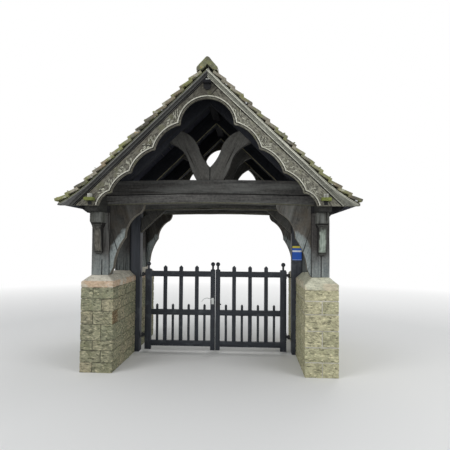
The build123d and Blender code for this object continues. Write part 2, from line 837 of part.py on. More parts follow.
# Rails between the stiles, mortised for the pickets
with BuildPart() as gate_rails:
    for foot, top in rail_heights:
        with Locations((meeting_edge, 0, foot)):
            Box(
                hanging_edge - meeting_edge,
                rail_thickness,
                top - foot,
                align=(Align.MIN, Align.CENTER, Align.MIN),
            )
    add(gate_pickets.part, mode=Mode.SUBTRACT)
save_pair(gate_rails, "gate_rails")

# Eyes on the hanging stile that turn on the pins of the gate post
with BuildPart() as hinge_eyes:
    for height in hinge_heights:
        with Locations((leaf_outer, 0, height)):
            Box(
                iron_plate_thickness,
                iron_plate_width,
                iron_plate_height,
                align=(Align.MIN, Align.CENTER, Align.CENTER),
            )
            Box(
                hinge_x - leaf_outer,
                arm_thickness,
                eye_height,
                align=(Align.MIN, Align.CENTER, Align.CENTER),
            )
        with Locations((hinge_x, 0, height)):
            Cylinder(eye_radius, eye_height)
            Cylinder(pin_radius + pin_clearance, eye_height, mode=Mode.SUBTRACT)
save_pair(hinge_eyes, "hinge_eyes")

# Hooks on the gate posts: a plate, an arm below the eye, and the pin
with BuildPart() as gate_hooks:
    for height in hinge_heights:
        arm_top = height - eye_height / 2
        with Locations((gate_post_inner, 0, height)):
            Box(
                iron_plate_thickness,
                iron_plate_width,
                iron_plate_height,
                align=(Align.MAX, Align.CENTER, Align.CENTER),
            )
        with Locations((gate_post_inner, 0, arm_top)):
            Box(
                gate_post_inner - hinge_x,
                arm_thickness,
                arm_thickness,
                align=(Align.MAX, Align.CENTER, Align.MAX),
            )
        with Locations((hinge_x, 0, arm_top - arm_thickness)):
            Cylinder(
                eye_radius,
                arm_thickness,
                align=(Align.CENTER, Align.CENTER, Align.MIN),
            )
            Cylinder(
                pin_radius,
                arm_thickness + eye_height + pin_radius,
                align=(Align.CENTER, Align.CENTER, Align.MIN),
            )
    mirror(about=Plane.YZ)
save(gate_hooks, "gate_hooks")

# Latch: a plate with an arched handle on the left leaf, and a plate with a knobbed bar on the right
latch_x = (leaf_inner + meeting_edge) / 2
latch_face = gate_thickness / 2
with BuildPart() as latch_handle:
    with BuildSketch(Plane.XZ.offset(latch_face)):
        with Locations((-latch_x, latch_height)):
            Rectangle(latch_plate_width, latch_plate_height)
    extrude(amount=iron_plate_thickness)
    with BuildSketch(Plane.XZ.offset(latch_face + iron_plate_thickness)):
        with BuildLine():
            upper = ThreePointArc(
                (-latch_x, latch_height),
                (-latch_x - handle_reach * 0.6, latch_height + handle_rise),
                (-latch_x - handle_reach, latch_height - handle_drop),
            )
            lower = ThreePointArc(
                (-latch_x, latch_height - handle_bar),
                (-latch_x - handle_reach * 0.6, latch_height + handle_rise - handle_bar),
                (-latch_x - handle_reach + handle_bar / 2, latch_height - handle_drop - handle_bar / 2),
            )
            Line(upper @ 0, lower @ 0)
            Line(upper @ 1, lower @ 1)
        make_face()
    extrude(amount=handle_thickness)
save(latch_handle, "latch_handle")

catch_z = latch_height - latch_plate_height / 2
catch_face = latch_face + iron_plate_thickness
with BuildPart() as latch_catch:
    with BuildSketch(Plane.XZ.offset(latch_face)):
        with Locations((latch_x, catch_z)):
            Rectangle(latch_plate_width, latch_plate_height)
    extrude(amount=iron_plate_thickness)
    with BuildSketch(Plane.XZ.offset(catch_face)):
        with Locations((latch_x, catch_z)):
            Rectangle(catch_reach, catch_bar, align=(Align.MIN, Align.CENTER))
        with Locations((latch_x + catch_reach, catch_z)):
            Circle(knob_radius)
    extrude(amount=handle_thickness)
save(latch_catch, "latch_catch")
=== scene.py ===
import math
import random
from itertools import accumulate

import bmesh
import bpy
from bmesh import ops
from mathutils import Matrix, Vector, kdtree, noise


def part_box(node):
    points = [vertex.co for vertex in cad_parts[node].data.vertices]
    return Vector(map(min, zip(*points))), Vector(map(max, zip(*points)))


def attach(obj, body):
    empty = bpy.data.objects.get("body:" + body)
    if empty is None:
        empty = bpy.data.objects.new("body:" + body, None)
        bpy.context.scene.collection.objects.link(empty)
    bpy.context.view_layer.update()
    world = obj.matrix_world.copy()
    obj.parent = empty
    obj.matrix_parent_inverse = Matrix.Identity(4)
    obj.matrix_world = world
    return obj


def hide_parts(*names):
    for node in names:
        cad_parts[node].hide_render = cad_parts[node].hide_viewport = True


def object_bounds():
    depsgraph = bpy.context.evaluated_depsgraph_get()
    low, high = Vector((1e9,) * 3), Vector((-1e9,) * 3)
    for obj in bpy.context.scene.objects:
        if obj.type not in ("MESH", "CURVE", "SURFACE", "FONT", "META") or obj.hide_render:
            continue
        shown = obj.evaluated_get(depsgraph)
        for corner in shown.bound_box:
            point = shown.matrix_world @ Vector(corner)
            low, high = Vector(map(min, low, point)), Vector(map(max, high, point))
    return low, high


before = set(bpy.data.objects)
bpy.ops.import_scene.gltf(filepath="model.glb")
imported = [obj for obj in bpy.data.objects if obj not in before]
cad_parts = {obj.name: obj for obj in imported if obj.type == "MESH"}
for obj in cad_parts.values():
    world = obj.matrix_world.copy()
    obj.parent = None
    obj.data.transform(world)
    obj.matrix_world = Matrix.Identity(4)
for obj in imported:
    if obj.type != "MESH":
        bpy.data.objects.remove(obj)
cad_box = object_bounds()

random.seed(7)
noise.seed_set(7)
FRAME = "frame"
X_AXIS = Vector((1, 0, 0))
Y_AXIS = Vector((0, 1, 0))
Z_AXIS = Vector((0, 0, 1))
SIDES = {"left": -1, "right": 1}
ENDS = {"front": -1, "rear": 1}

# Camera, as the photograph was taken: standing eye height, a little to the right of the passage
eye = Vector((0.513, -6.795, 1.597))
yaw_left = math.radians(3.19)
pitch_up = math.radians(2.22)
camera_roll = math.radians(0.436)
focal_pixels = 461.0
frame_pixels = 450.0
sensor_width = 36.0

# The carved brackets, in metres
post_middle = 1.3675
bracket_head = 1.800
bracket_foot = 1.443
bracket_half = 0.070
bracket_cell = 0.0116
bracket_neck = 0.030
bracket_hollow = 0.014
bracket_back = 1.108
tongue_width = 0.104
tongue_shift = 0.012
foot_round = 0.046

# The roof, in metres, as the solids have it
roof_pitch = math.radians(44.0)
slope_cos = math.cos(roof_pitch)
slope_sin = math.sin(roof_pitch)
roof_crown = 3.648
flare_start = 1.3308 / slope_cos
flare_length = 0.5287
flare_radius = 1.870
flare_x = flare_start * slope_cos + flare_radius * slope_sin
flare_z = roof_crown - flare_start * slope_sin + flare_radius * slope_cos
slope_length = flare_start + flare_length
tile_courses = 16
tile_tail = 0.050
tile_head = 0.024
ridge_half_width = 0.125
ridge_bed = (ridge_half_width - tile_tail * slope_sin) / slope_cos
tile_gauge = (slope_length - ridge_bed) / tile_courses
tile_edge = 1.559
slate_lap = 1.22
slate_gap = 0.005
board_thickness = 0.022
board_gap = 0.003
filling_half = 0.112
filling_span = (0.016, 0.060)
slate_bed = 0.018
SLOPES = {side: Vector((sign * slope_cos, 0, -slope_sin)) for side, sign in SIDES.items()}

# The gables, in metres: faces and depths of the boards and mouldings, and the relief in from the scallops
gable_face = 1.534
board_face = 1.500
board_back = 1.465
board_foot = 2.024
fascia_depth = 0.044
reed_depth = 0.014
reed_step = 0.008
edge_bead = (0.008, 0.014, 0.007)
main_bead = (0.0315, 0.015, 0.013)
groove_span = (0.0145, 0.0250)
LEAF_PROFILE = ((-1, -0.12), (-0.55, 0.7), (-0.12, 0.55), (0, 1.0), (0.12, 0.55), (0.55, 0.7), (1, -0.12))
LEAF_ROWS = ((0.045, 0.120), (0.059, 0.110), (0.073, 0.095), (0.087, 0.075), (0.101, 0.050))

# The dwarf walls, in metres: courses from the ground up, and the splits of each face, as the front shows
COURSES = {
    "left": (0.122, 0.145, 0.122, 0.198, 0.160, 0.150, 0.140),
    "right": (0.178, 0.178, 0.194, 0.197, 0.160, 0.130),
}
SPLITS = {"left": (0.36, 0.62), "right": (0.515, 1.0)}
JOINTS = {"left": 0.006, "right": 0.012}
MORTAR_DEPTHS = {"left": 0.012, "right": 0.007}
housing = 0.084
block_edge = 0.006
block_cell = 0.021
brown_quoin = (0.57, 0.72)

# Each drying crack of the end posts: where it lies across, how high it reaches, and the way it looks
CRACKS = {"left": ((-1.343, 1.35, -1), (-1.390, 1.42, 1)), "right": ((1.372, 1.47, -1), (1.352, 1.38, 1))}
crack_foot = 1.12
crack_width = 0.012
crack_depth = 0.020

# Marks on the other timbers, in metres: heights, depths, and places across and up for the apex joint
tie_line = (2.15, 2.24)
tie_line_depths = (1.080, 1.094)
tie_band_top = 2.20
tie_arris_top = 2.12
arris_depths = (-0.94, 1.05)
plate_wedges = (2.112, 2.6)
ridge_wedges = 3.462
strut_joint = (2.372, 2.540)
strut_faces = (0.9605, 1.0755)
apex_joint = ((0.035, 3.315), (0.120, 3.405))
apex_faces = (1.496, 1.5025)


def on_roof(along, height):
    """X and Z on the right slope, this far down from the ridge and above the seat of the tiles."""
    if along <= flare_start:
        return (along * slope_cos + height * slope_sin, roof_crown - along * slope_sin + height * slope_cos)
    pitch = roof_pitch - (along - flare_start) / flare_radius
    radius = flare_radius - height
    return (flare_x - radius * math.sin(pitch), flare_z - radius * math.cos(pitch))


def slope_place(point):
    """How far down the slope, and how far above the seat of the tiles, a point of either gable lies."""
    x, drop = abs(point.x), roof_crown - point.z
    return (x * slope_cos + drop * slope_sin, x * slope_sin - drop * slope_cos)


def roof_place(point):
    """As slope_place, but following the sweep of the eaves."""
    along, height = slope_place(point)
    if along <= flare_start:
        return (along, height)
    across, down = flare_x - abs(point.x), flare_z - point.z
    pitch = math.atan2(across, down)
    return (flare_start + (roof_pitch - pitch) * flare_radius, flare_radius - math.hypot(across, down))


class Field:
    """A value in a node tree. Sums and products of fields make the nodes that they need."""

    def __init__(self, nodes, socket):
        self.nodes = nodes
        self.socket = socket

    def __add__(self, other):
        return self.nodes.math("ADD", self, other)

    def __sub__(self, other):
        return self.nodes.math("SUBTRACT", self, other)

    def __rsub__(self, other):
        return self.nodes.math("SUBTRACT", other, self)

    def __mul__(self, other):
        return self.nodes.math("MULTIPLY", self, other)

    def __abs__(self):
        return self.nodes.math("ABSOLUTE", self)

    def at_least(self, other):
        return self.nodes.math("MAXIMUM", self, other)

    def band(self, low, high, to_low=0.0, to_high=1.0):
        """Taken from one range to another, and held at its ends."""
        ends = {"From Min": low, "From Max": high, "To Min": to_low, "To Max": to_high}
        return self.nodes.node("ShaderNodeMapRange", {"Value": self, **ends}, clamp=True)


class Nodes:
    """A node tree under construction."""

    def __init__(self, tree):
        self.tree = tree

    def feed(self, socket, value):
        value = value.socket if isinstance(value, Field) else value
        if isinstance(value, bpy.types.NodeSocket):
            self.tree.links.new(value, socket)
        else:
            socket.default_value = value

    def node(self, kind, inputs=(), output=0, **settings):
        """Makes a node, feeds its inputs, and gives one of its outputs."""
        made = self.tree.nodes.new(kind)
        for key, value in settings.items():
            setattr(made, key, value)
        for key, value in dict(inputs).items():
            self.feed(made.inputs[key], value)
        return Field(self, made.outputs[output])

    def math(self, operation, first, second=0.0):
        return self.node("ShaderNodeMath", {0: first, 1: second}, operation=operation)

    def white_to_camera(self, kind, shade, share=None):
        """A shader that gives way to white, or to a share of it, where the camera or a reflection looks."""
        rays = self.tree.nodes.new("ShaderNodeLightPath").outputs
        looks = self.math("MAXIMUM", rays["Is Camera Ray"], rays["Is Glossy Ray"])
        looks = looks.at_least(rays["Is Transmission Ray"])
        if share:
            looks = looks * share
        white = self.node(kind, {"Color": (1, 1, 1, 1), "Strength": 1.0})
        return self.node("ShaderNodeMixShader", {0: looks, 1: shade, 2: white})


class Shader(Nodes):
    """A material under construction, its colour built up by tints one over another."""

    def __init__(self, name, roughness=0.8, specular=0.3, metallic=0.0):
        self.material = bpy.data.materials.new(name)
        self.material.use_nodes = True
        super().__init__(self.material.node_tree)
        self.surface = self.tree.nodes["Principled BSDF"]
        values = {"Roughness": roughness, "Specular IOR Level": specular, "Metallic": metallic}
        for key, value in values.items():
            self.feed(self.surface.inputs[key], value)
        self.position = self.node("ShaderNodeTexCoord", output="Object")
        self.colour = None

    def axis(self, direction, vector=None):
        """How far a point lies along a direction."""
        inputs = {0: vector or self.position, 1: direction}
        return self.node("ShaderNodeVectorMath", inputs, "Value", operation="DOT_PRODUCT")

    def joined(self, *parts):
        return self.node("ShaderNodeCombineXYZ", dict(enumerate(parts)))

    def stretched(self, along, stretch, mirrored=False):
        """Coordinates drawn out along the grain."""
        along = Vector(along).normalized()
        side = along.cross(Y_AXIS if abs(along.y) < 0.9 else Z_AXIS).normalized()
        vector = self.position
        if mirrored:
            vector = self.joined(abs(self.axis(X_AXIS)), self.axis(Y_AXIS), self.axis(Z_AXIS))
        drawn = self.axis(along, vector) * (1 / stretch)
        return self.joined(drawn, self.axis(side, vector), self.axis(along.cross(side), vector))

    def noise(self, scale, detail=4.0, vector=None, rough=0.55, distortion=0.0):
        values = {"Scale": scale, "Detail": detail, "Roughness": rough, "Distortion": distortion}
        return self.node("ShaderNodeTexNoise", {"Vector": vector or self.position, **values}, "Fac")

    def attribute(self, name):
        return self.node("ShaderNodeAttribute", output="Fac", attribute_name=name)

    def up(self):
        """1 on faces that look up, 0 on upright and downward ones."""
        return self.axis(Z_AXIS, self.node("ShaderNodeNewGeometry", output="Normal")).band(0.2, 0.8)

    def mix(self, share, first, second, blend="MIX"):
        first, second = (value if isinstance(value, Field) else (*value, 1) for value in (first, second))
        inputs = {0: share, 6: first, 7: second}
        return self.node("ShaderNodeMix", inputs, 2, data_type="RGBA", blend_type=blend)

    def tint(self, share, colour):
        """Lays a colour over what is there, by a share."""
        self.colour = self.mix(share, self.colour, colour)

    def patches(self, scale, detail, low, high, most, colour, **settings):
        """Lays a colour over what is there, in patches where a noise passes a level."""
        self.tint(self.noise(scale, detail, **settings).band(low, high, 0.0, most), colour)

    def shade(self, share):
        self.colour = self.mix(1.0, self.colour, share, "MULTIPLY")

    def finish(self, height, distance, strength=1.0):
        """The finished material, with a fine bump."""
        self.feed(self.surface.inputs["Base Color"], self.colour)
        bump = {"Strength": strength, "Distance": distance, "Height": height}
        self.feed(self.surface.inputs["Normal"], self.node("ShaderNodeBump", bump))
        return self.material


def scaled(colour, share):
    return [min(1.0, share * value) for value in colour]


def timber(
    name,
    along,
    dark,
    light,
    silver=0.0,
    fade=None,
    foot=None,
    moss=0.0,
    mirrored=False,
    warm=0.0,
    lean=1.0,
    seam=0,
):
    """Weathered oak with its grain along a direction: fine checks, streaks, silvering and a pale, damp foot.

    A fade is an axis, two distances along it, and the share of the colour that is left within the first."""
    shader = Shader(name, roughness=0.88, specular=0.2)

    def drawn(scale, detail, stretch, **settings):
        return shader.noise(scale, detail, shader.stretched(along, stretch, mirrored), **settings)

    fine = drawn(150, 6, 26, rough=0.62)
    streak = drawn(26, 5, 11, rough=0.6, distortion=0.4)
    mottle = shader.noise(38, 5)
    split = drawn(46, 3, 34, rough=0.35).band(0.275, 0.315)
    tone = fine * 0.45 + streak * 0.35 + mottle * 0.35
    shader.colour = shader.mix(tone.band(0.44, 0.72), dark, light)
    shader.tint(drawn(4.2, 4, 3).band(0.42, 0.68, 0.0, 0.35), dark)
    if warm:
        shader.tint(shader.noise(7, 5).band(0.42, 0.68) * warm, (0.088, 0.068, 0.046))
    if silver:
        shader.tint(drawn(9, 6, 7, rough=0.65).band(0.45, 0.64) * silver, (0.24, 0.25, 0.235))
    if lean != 1.0:
        shader.shade(shader.axis(X_AXIS).band(-0.4, 0.4, lean**-0.5, lean**0.5))
    if foot:
        low, high, tilt = foot
        rise = (abs(shader.axis(X_AXIS)) - 1.10).at_least(0.0) * tilt
        ragged = shader.axis(Z_AXIS) + rise + shader.noise(6, 5) * 0.30
        pale = shader.mix(tone.band(0.45, 0.7), (0.125, 0.148, 0.150), (0.33, 0.36, 0.345))
        shader.tint(ragged.band(low + 0.15, high + 0.15, 0.9, 0.0), pale)
    if moss:
        shader.tint(shader.noise(12, 6).band(0.44, 0.58) * shader.up() * moss, (0.22, 0.24, 0.05))
    shader.tint(1.0 - split, (0.018, 0.016, 0.014))
    # A fade darkens the colour within the first distance along its axis; on the middle posts it is painted
    # shade under the roof.
    if fade:
        direction, near, far, left = fade
        shader.shade(abs(shader.axis(direction)).band(near, far, left, 1.0))
    # A seam is a near-black band beside a post's face: painted shade at the joint.
    if seam:
        shader.tint(abs(shader.axis(X_AXIS)).band(seam - 0.009, seam - 0.005), (0.012, 0.011, 0.010))
    return shader.finish(fine * 0.4 + split * 0.6 + mottle * 0.4, 0.004)


def slope_timbers(name, left, right, **settings):
    """The same timber for both slopes, each with its grain down its own."""
    tones = {"left": left, "right": right}
    return {side: timber(f"{side}_{name}", SLOPES[side], *tones[side], **settings) for side in SIDES}


def tongue_panel(name, dark, light):
    """The pale middle of a bracket's tongue, a painted highlight, dying out into painted shade at its sides,
    its top and its toe.
    """
    shader = Shader(name, roughness=0.88, specular=0.2)
    grain = shader.noise(60, 6, shader.stretched(Z_AXIS, 9), rough=0.62)
    streaks = grain.band(0.38, 0.66)
    ragged = (shader.noise(24, 5) - 0.5) * 0.03
    across = abs(abs(shader.axis(X_AXIS)) - (post_middle + tongue_shift)) + ragged
    height = shader.axis(Z_AXIS)
    share = across.band(0.026, 0.044, 1.0, 0.0) * (height + ragged * 3.0).band(1.69, 1.79, 1.0, 0.0)
    toe = height.band(bracket_foot + 0.030, bracket_foot + 0.060)
    # The dark base is painted shade round the tongue; the pale share laid over it is its painted highlight.
    shader.colour = shader.mix(streaks, (0.026, 0.026, 0.024), (0.080, 0.079, 0.071))
    shader.tint(share * toe, shader.mix(streaks, dark, light))
    return shader.finish(grain, 0.003)


def carved_oak(name, along, pale=0.0):
    """Lichened carved oak: a streaky brown-grey field of small cuts, olive in places."""
    shader = Shader(name, roughness=0.9, specular=0.18)
    cells = {"Vector": shader.stretched(along, 2.6), "Scale": 60}
    cuts = shader.node("ShaderNodeTexVoronoi", cells, "Distance")
    grain = shader.noise(110, 6, shader.stretched(along, 12), rough=0.65)
    streak = shader.noise(30, 5, shader.stretched(along, 5), rough=0.65)
    tone = cuts * 0.45 + streak * 0.55 + grain * 0.45
    light = (0.160 + pale, 0.153 + pale, 0.124 + 0.8 * pale)
    shader.colour = shader.mix(tone.band(0.48, 0.86), (0.030, 0.028, 0.024), light)
    shader.patches(5, 5, 0.46, 0.64, 0.4, (0.098, 0.086, 0.068))
    shader.patches(10, 6, 0.52, 0.64, 0.4, (0.15, 0.155, 0.085))
    shader.patches(48, 4, 0.63, 0.69, 0.7, (0.40, 0.40, 0.33))
    # Darker towards the apex: painted shade under the verges.
    shader.shade(shader.axis(Z_AXIS).band(3.02, 3.36, 1.0, 0.66))
    return shader.finish(tone, 0.008)


def sandstone(name, base, second, rust=0.0, grey=0.4, algae=0.5, tooled=0.7, blush=0.0):
    """Dressed sandstone, each block of its own tone, with algae and soot, painted shade in the hollows of the
    tooling and painted highlights on its ridges.
    """
    shader = Shader(name, roughness=0.93, specular=0.12)
    tone = shader.attribute("tone")
    grit = shader.noise(85, 6, rough=0.65)
    tooling = shader.noise(19, 4, shader.stretched(Z_AXIS, 0.34), rough=0.5, distortion=0.7)
    shader.colour = shader.mix(tone.band(0.15, 0.9), base, second)
    shader.patches(6.5, 6, 0.42, 0.62, 0.35, scaled(base, 0.66), rough=0.6)
    if rust:
        shader.tint(tone.band(0.93, 0.96) * rust, (0.20, 0.135, 0.075))
    if blush:
        upright = shader.axis(Z_AXIS).band(1.112, 1.122, blush, 0.0)
        shader.tint(upright * shader.noise(5, 4).band(0.42, 0.52), (0.62, 0.40, 0.25))
    shader.patches(11, 7, 0.46, 0.68, algae, (0.205, 0.215, 0.105), rough=0.7)
    shader.patches(4.3, 6, 0.52, 0.68, grey, (0.17, 0.17, 0.145), vector=shader.stretched(Z_AXIS, 2.2))
    # Paler where the tooling stands up: painted highlights on its ridges.
    shader.tint(tooling.band(0.56, 0.65, 0.0, 0.9 * tooled), scaled(second, 1.5))
    # Darker in the hollows of the tooling: painted shade.
    sunk = shader.attribute("hollow").band(0.1, 0.8, 0.0, 0.6 * tooled)
    dark = tooling.band(0.36, 0.45, 1.2 * tooled, 0.0).at_least(sunk)
    shader.tint(shader.math("MINIMUM", dark, 1.0), scaled(base, 0.26))
    shader.tint(grit.band(0.44, 0.70, 0.0, 0.25), (0.11, 0.105, 0.075))
    return shader.finish(grit * 0.3 + tooling, 0.016)


def mortar(name="lime_mortar", pale=(0.60, 0.575, 0.50), dark=(0.36, 0.345, 0.28)):
    """Lime mortar with grit."""
    shader = Shader(name, roughness=0.95, specular=0.1)
    grit = shader.noise(90, 5)
    shader.colour = shader.mix(shader.noise(6, 4).band(0.4, 0.65), pale, dark)
    shader.tint(grit.band(0.4, 0.7, 0.0, 0.4), scaled(dark, 0.6))
    return shader.finish(grit, 0.006)


def roof_stone(name, moss):
    """Stone slates: grey-brown, each of its own tone, with moss, algae and lichen."""
    shader = Shader(name, roughness=0.93, specular=0.12)
    tone = shader.attribute("tone")
    grit = shader.noise(48, 6)
    shader.colour = shader.mix(tone.band(0, 1), (0.095, 0.090, 0.072), (0.36, 0.335, 0.265))
    shader.patches(2.1, 3, 0.50, 0.66, 0.6, (0.29, 0.21, 0.12))
    shader.patches(6.0, 6, 0.45, 0.62, 0.75, (0.23, 0.24, 0.14))
    shader.patches(6, 8, 0.50, 0.57, moss, (0.235, 0.245, 0.095), rough=0.68)
    shader.patches(13, 6, 0.60, 0.66, 0.5, (0.55, 0.55, 0.47))
    shader.patches(20, 4, 0.66, 0.70, 0.6, (0.50, 0.33, 0.10))
    shader.tint(grit.band(0.42, 0.7, 0.0, 0.35), (0.06, 0.055, 0.04))
    shader.tint(tone.band(1.3, 1.5), (0.50, 0.52, 0.52))
    return shader.finish(grit + shader.noise(14, 5), 0.012, 0.9)


def moss_cushion():
    """Deep yellow-green moss."""
    shader = Shader("moss_cushion", roughness=1.0, specular=0.05)
    tuft = shader.noise(160, 4)
    shader.colour = shader.mix(shader.noise(18, 4).band(0.4, 0.65), (0.12, 0.15, 0.025), (0.30, 0.31, 0.07))
    shader.tint(tuft.band(0.4, 0.7, 0.0, 0.5), (0.04, 0.05, 0.012))
    return shader.finish(tuft, 0.006)


def gate_stain(name, along):
    """Blue-black wood stain, worn pale in places."""
    shader = Shader(name, roughness=0.55, specular=0.4)
    grain = shader.noise(70, 5, shader.stretched(along, 20))
    shader.colour = shader.mix(grain.band(0.4, 0.7), (0.013, 0.016, 0.022), (0.034, 0.040, 0.050))
    shader.patches(7, 6, 0.55, 0.72, 0.55, (0.085, 0.095, 0.105))
    shader.feed(shader.surface.inputs["Roughness"], grain.band(0.3, 0.7, 0.45, 0.7))
    return shader.finish(grain, 0.0025)


def ironwork(name, base, roughness, metallic):
    """Painted or galvanised iron with a little wear."""
    shader = Shader(name, roughness, specular=0.5, metallic=metallic)
    shader.colour = base
    shader.patches(30, 5, 0.5, 0.72, 0.6, scaled(base, 0.55))
    return shader.finish(shader.noise(120, 4), 0.0015)


def notice_face(low, high):
    """Blue enamel with a yellow head and two pale bands, as plain fields of colour."""
    shader = Shader("notice_enamel", roughness=0.3, specular=0.5)
    height = shader.axis(Z_AXIS).band(low, high)
    shader.colour = (0.015, 0.085, 0.42)
    for start, end, colour in (
        (0.86, 1.0, (0.55, 0.47, 0.06)),
        (0.58, 0.70, (0.62, 0.66, 0.70)),
        (0.02, 0.05, (0.35, 0.45, 0.65)),
    ):
        above, below = shader.math("GREATER_THAN", height, start), shader.math("LESS_THAN", height, end)
        shader.tint(above * below, colour)
    shader.patches(26, 5, 0.52, 0.74, 0.35, (0.08, 0.09, 0.08))
    return shader.finish(shader.noise(40, 2), 0.0006)


# Making and shaping pieces
def hold_inside(bm, low, high):
    """Keeps every point inside a box."""
    for vertex in bm.verts:
        vertex.co = [min(max(value, start), end) for value, start, end in zip(vertex.co, low, high)]


def place(name, bm, materials, body=FRAME, replaces=(), sharp=35.0):
    """Makes a piece from a finished bmesh, smooth but for its sharp edges, and sets it on its body."""
    if body == FRAME:
        hold_inside(bm, *cad_box)
    limit = math.radians(sharp)
    for face in bm.faces:
        face.smooth = True
    for edge in bm.edges:
        edge.smooth = len(edge.link_faces) == 2 and edge.calc_face_angle(0) < limit
    mesh = bpy.data.meshes.new(name)
    bm.to_mesh(mesh)
    bm.free()
    for material in materials:
        mesh.materials.append(material)
    piece = bpy.data.objects.new(name, mesh)
    bpy.context.scene.collection.objects.link(piece)
    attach(piece, body)
    if replaces:
        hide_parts(*replaces)


def cut(bm, point, direction, dist=1e-5, **options):
    """Cuts a mesh by a plane."""
    geometry = bm.verts[:] + bm.edges[:] + bm.faces[:]
    return ops.bisect_plane(bm, geom=geometry, plane_co=point, plane_no=direction, dist=dist, **options)


def slices(bm, direction, step):
    """Cuts a mesh across, every step along a direction, so that its long faces can be uneven."""
    direction = Vector(direction).normalized()
    reach = [vertex.co.dot(direction) for vertex in bm.verts]
    low, high = min(reach), max(reach)
    count = int((high - low) / step)
    for number in range(1, count + 1):
        cut(bm, direction * (low + (high - low) * number / (count + 1)), direction)


def roughen(bm, amount, scale, seed=0.0):
    """Moves each point by smooth noise."""
    shift = Vector((seed, 3.1 * seed, 7.7 * seed))
    for vertex in bm.verts:
        vertex.co += noise.noise_vector(vertex.co * scale + shift) * amount


def solid_copy(node):
    """A copy of a CAD node's mesh with its flat faces whole."""
    bm = bmesh.new()
    bm.from_mesh(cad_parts[node].data)
    ops.remove_doubles(bm, verts=bm.verts, dist=1e-5)
    ops.dissolve_limit(bm, angle_limit=0.006, verts=bm.verts, edges=bm.edges)
    return bm


def soften(bm, width, segments=2, above=28.0):
    """Rounds the sharp edges, and gives the faces of the rounding."""
    limit = math.radians(above)
    edges = [edge for edge in bm.edges if len(edge.link_faces) == 2 and edge.calc_face_angle(0) > limit]
    options = {"segments": segments, "profile": 0.6, "affect": "EDGES", "clamp_overlap": True}
    made = ops.bevel(bm, geom=edges, offset=width, **options)
    ops.remove_doubles(bm, verts=bm.verts, dist=5e-5)
    ops.dissolve_degenerate(bm, edges=bm.edges, dist=1e-4)
    return [face for face in made["faces"] if face.is_valid]


def shake(bm, facing, across, centre, along, low, high, width, depth):
    """Opens a long drying crack in the faces that look one way, tapering towards both its ends."""
    for shift in (-width / 2, 0, width / 2):
        cut(bm, across * (centre + shift), across)
    for vertex in bm.verts:
        reach = vertex.co.dot(along)
        if abs(vertex.co.dot(across) - centre) > 1e-4 or not low < reach < high:
            continue
        if max((face.normal.dot(facing) for face in vertex.link_faces), default=0) < 0.9:
            continue
        taper = math.sin(math.pi * (reach - low) / (high - low)) ** 0.6
        wander = noise.noise(Vector((reach * 9, centre * 31, 0)))
        vertex.co -= facing * depth * taper
        vertex.co += across * wander * width * 0.4


def worn(node, materials, along, body=FRAME, width=0.004, step=0.11, amount=0.002, choose=None, shakes=()):
    """A CAD timber with softened edges and a hand-worked surface, in place of its node."""
    bm = solid_copy(node)
    soften(bm, width)
    slices(bm, along, step)
    bm.normal_update()
    for crack in shakes:
        shake(bm, *crack)
        bm.normal_update()
    if choose:
        for face in bm.faces:
            face.material_index = choose(face)
    roughen(bm, amount, 5.0)
    place(f"{node}_worn", bm, materials, body, (node,))


def with_tones():
    """A new mesh that keeps a tone for each stone and a depth for each point."""
    bm = bmesh.new()
    bm.faces.layers.float.new("tone")
    bm.verts.layers.float.new("hollow")
    return bm


def append(bm, part, tone):
    """Adds a finished stone to the others, with its tone."""
    tones = part.faces.layers.float.new("tone")
    for face in part.faces:
        face[tones] = tone
    if not part.verts.layers.float.get("hollow"):
        part.verts.layers.float.new("hollow")
    mesh = bpy.data.meshes.new("spare")
    part.to_mesh(mesh)
    part.free()
    bm.from_mesh(mesh)
    bpy.data.meshes.remove(mesh)


def hew(bm, amount, seed, long=14.0, tall=34.0):
    """Rock-faced relief: shallow, crescent-like scallops left by the chisel, each point keeping its depth."""
    hollow = bm.verts.layers.float.new("hollow")
    bm.normal_update()
    moves = []
    for vertex in bm.verts:
        x, y, z = vertex.co
        spot = Vector((x * long + seed, y * long, z * tall + 2.0 * math.sin((x + y) * 24 + seed)))
        wave = noise.noise(spot) + 0.5 * noise.noise(spot * 2.3 + Vector((0, seed, 0))) - 0.05
        vertex[hollow] = max(0.0, -2.0 * wave)
        moves.append(vertex.normal * amount * max(-0.8, min(0.8, wave)))
    for vertex, move in zip(bm.verts, moves):
        vertex.co += move


def hewn_block(size, edge, cell):
    """A box about the origin with rounded edges, divided finely enough to be roughened."""
    part = bmesh.new()
    ops.create_cube(part, size=1.0)
    ops.scale(part, vec=size, verts=part.verts)
    ops.bevel(part, geom=part.edges[:], offset=edge, segments=2, profile=0.6, affect="EDGES")
    for direction, length in zip((X_AXIS, Y_AXIS, Z_AXIS), size):
        if length > 1.5 * cell:
            slices(part, direction, cell)
    return part


def between(node, low, high):
    """The length of a CAD node between two places along Y, with its cut ends closed."""
    part = solid_copy(node)
    for y, outward in ((low, -1), (high, 1)):
        found = cut(part, (0, y, 0), (0, outward, 0), dist=0, clear_outer=True)
        rim = [item for item in found["geom_cut"] if isinstance(item, bmesh.types.BMEdge)]
        if rim:
            ops.triangle_fill(part, edges=rim, use_beauty=True)
    ops.dissolve_limit(part, angle_limit=0.006, verts=part.verts, edges=part.edges)
    ops.recalc_face_normals(part, faces=part.faces)
    return part


def lengths(total, short, long):
    """Random lengths that together fill a distance."""
    count = max(1, round(total / (0.5 * (short + long))))
    shares = [random.uniform(short, long) for number in range(count)]
    return [share * total / sum(shares) for share in shares]


def skin(bm, rings):
    """Faces round and between rings of points, and one at each end."""
    for ring, following in zip(rings, rings[1:]):
        for step in range(len(ring)):
            bm.faces.new((ring[step - 1], ring[step], following[step], following[step - 1]))
    bm.faces.new(rings[0])
    bm.faces.new(rings[-1][::-1])


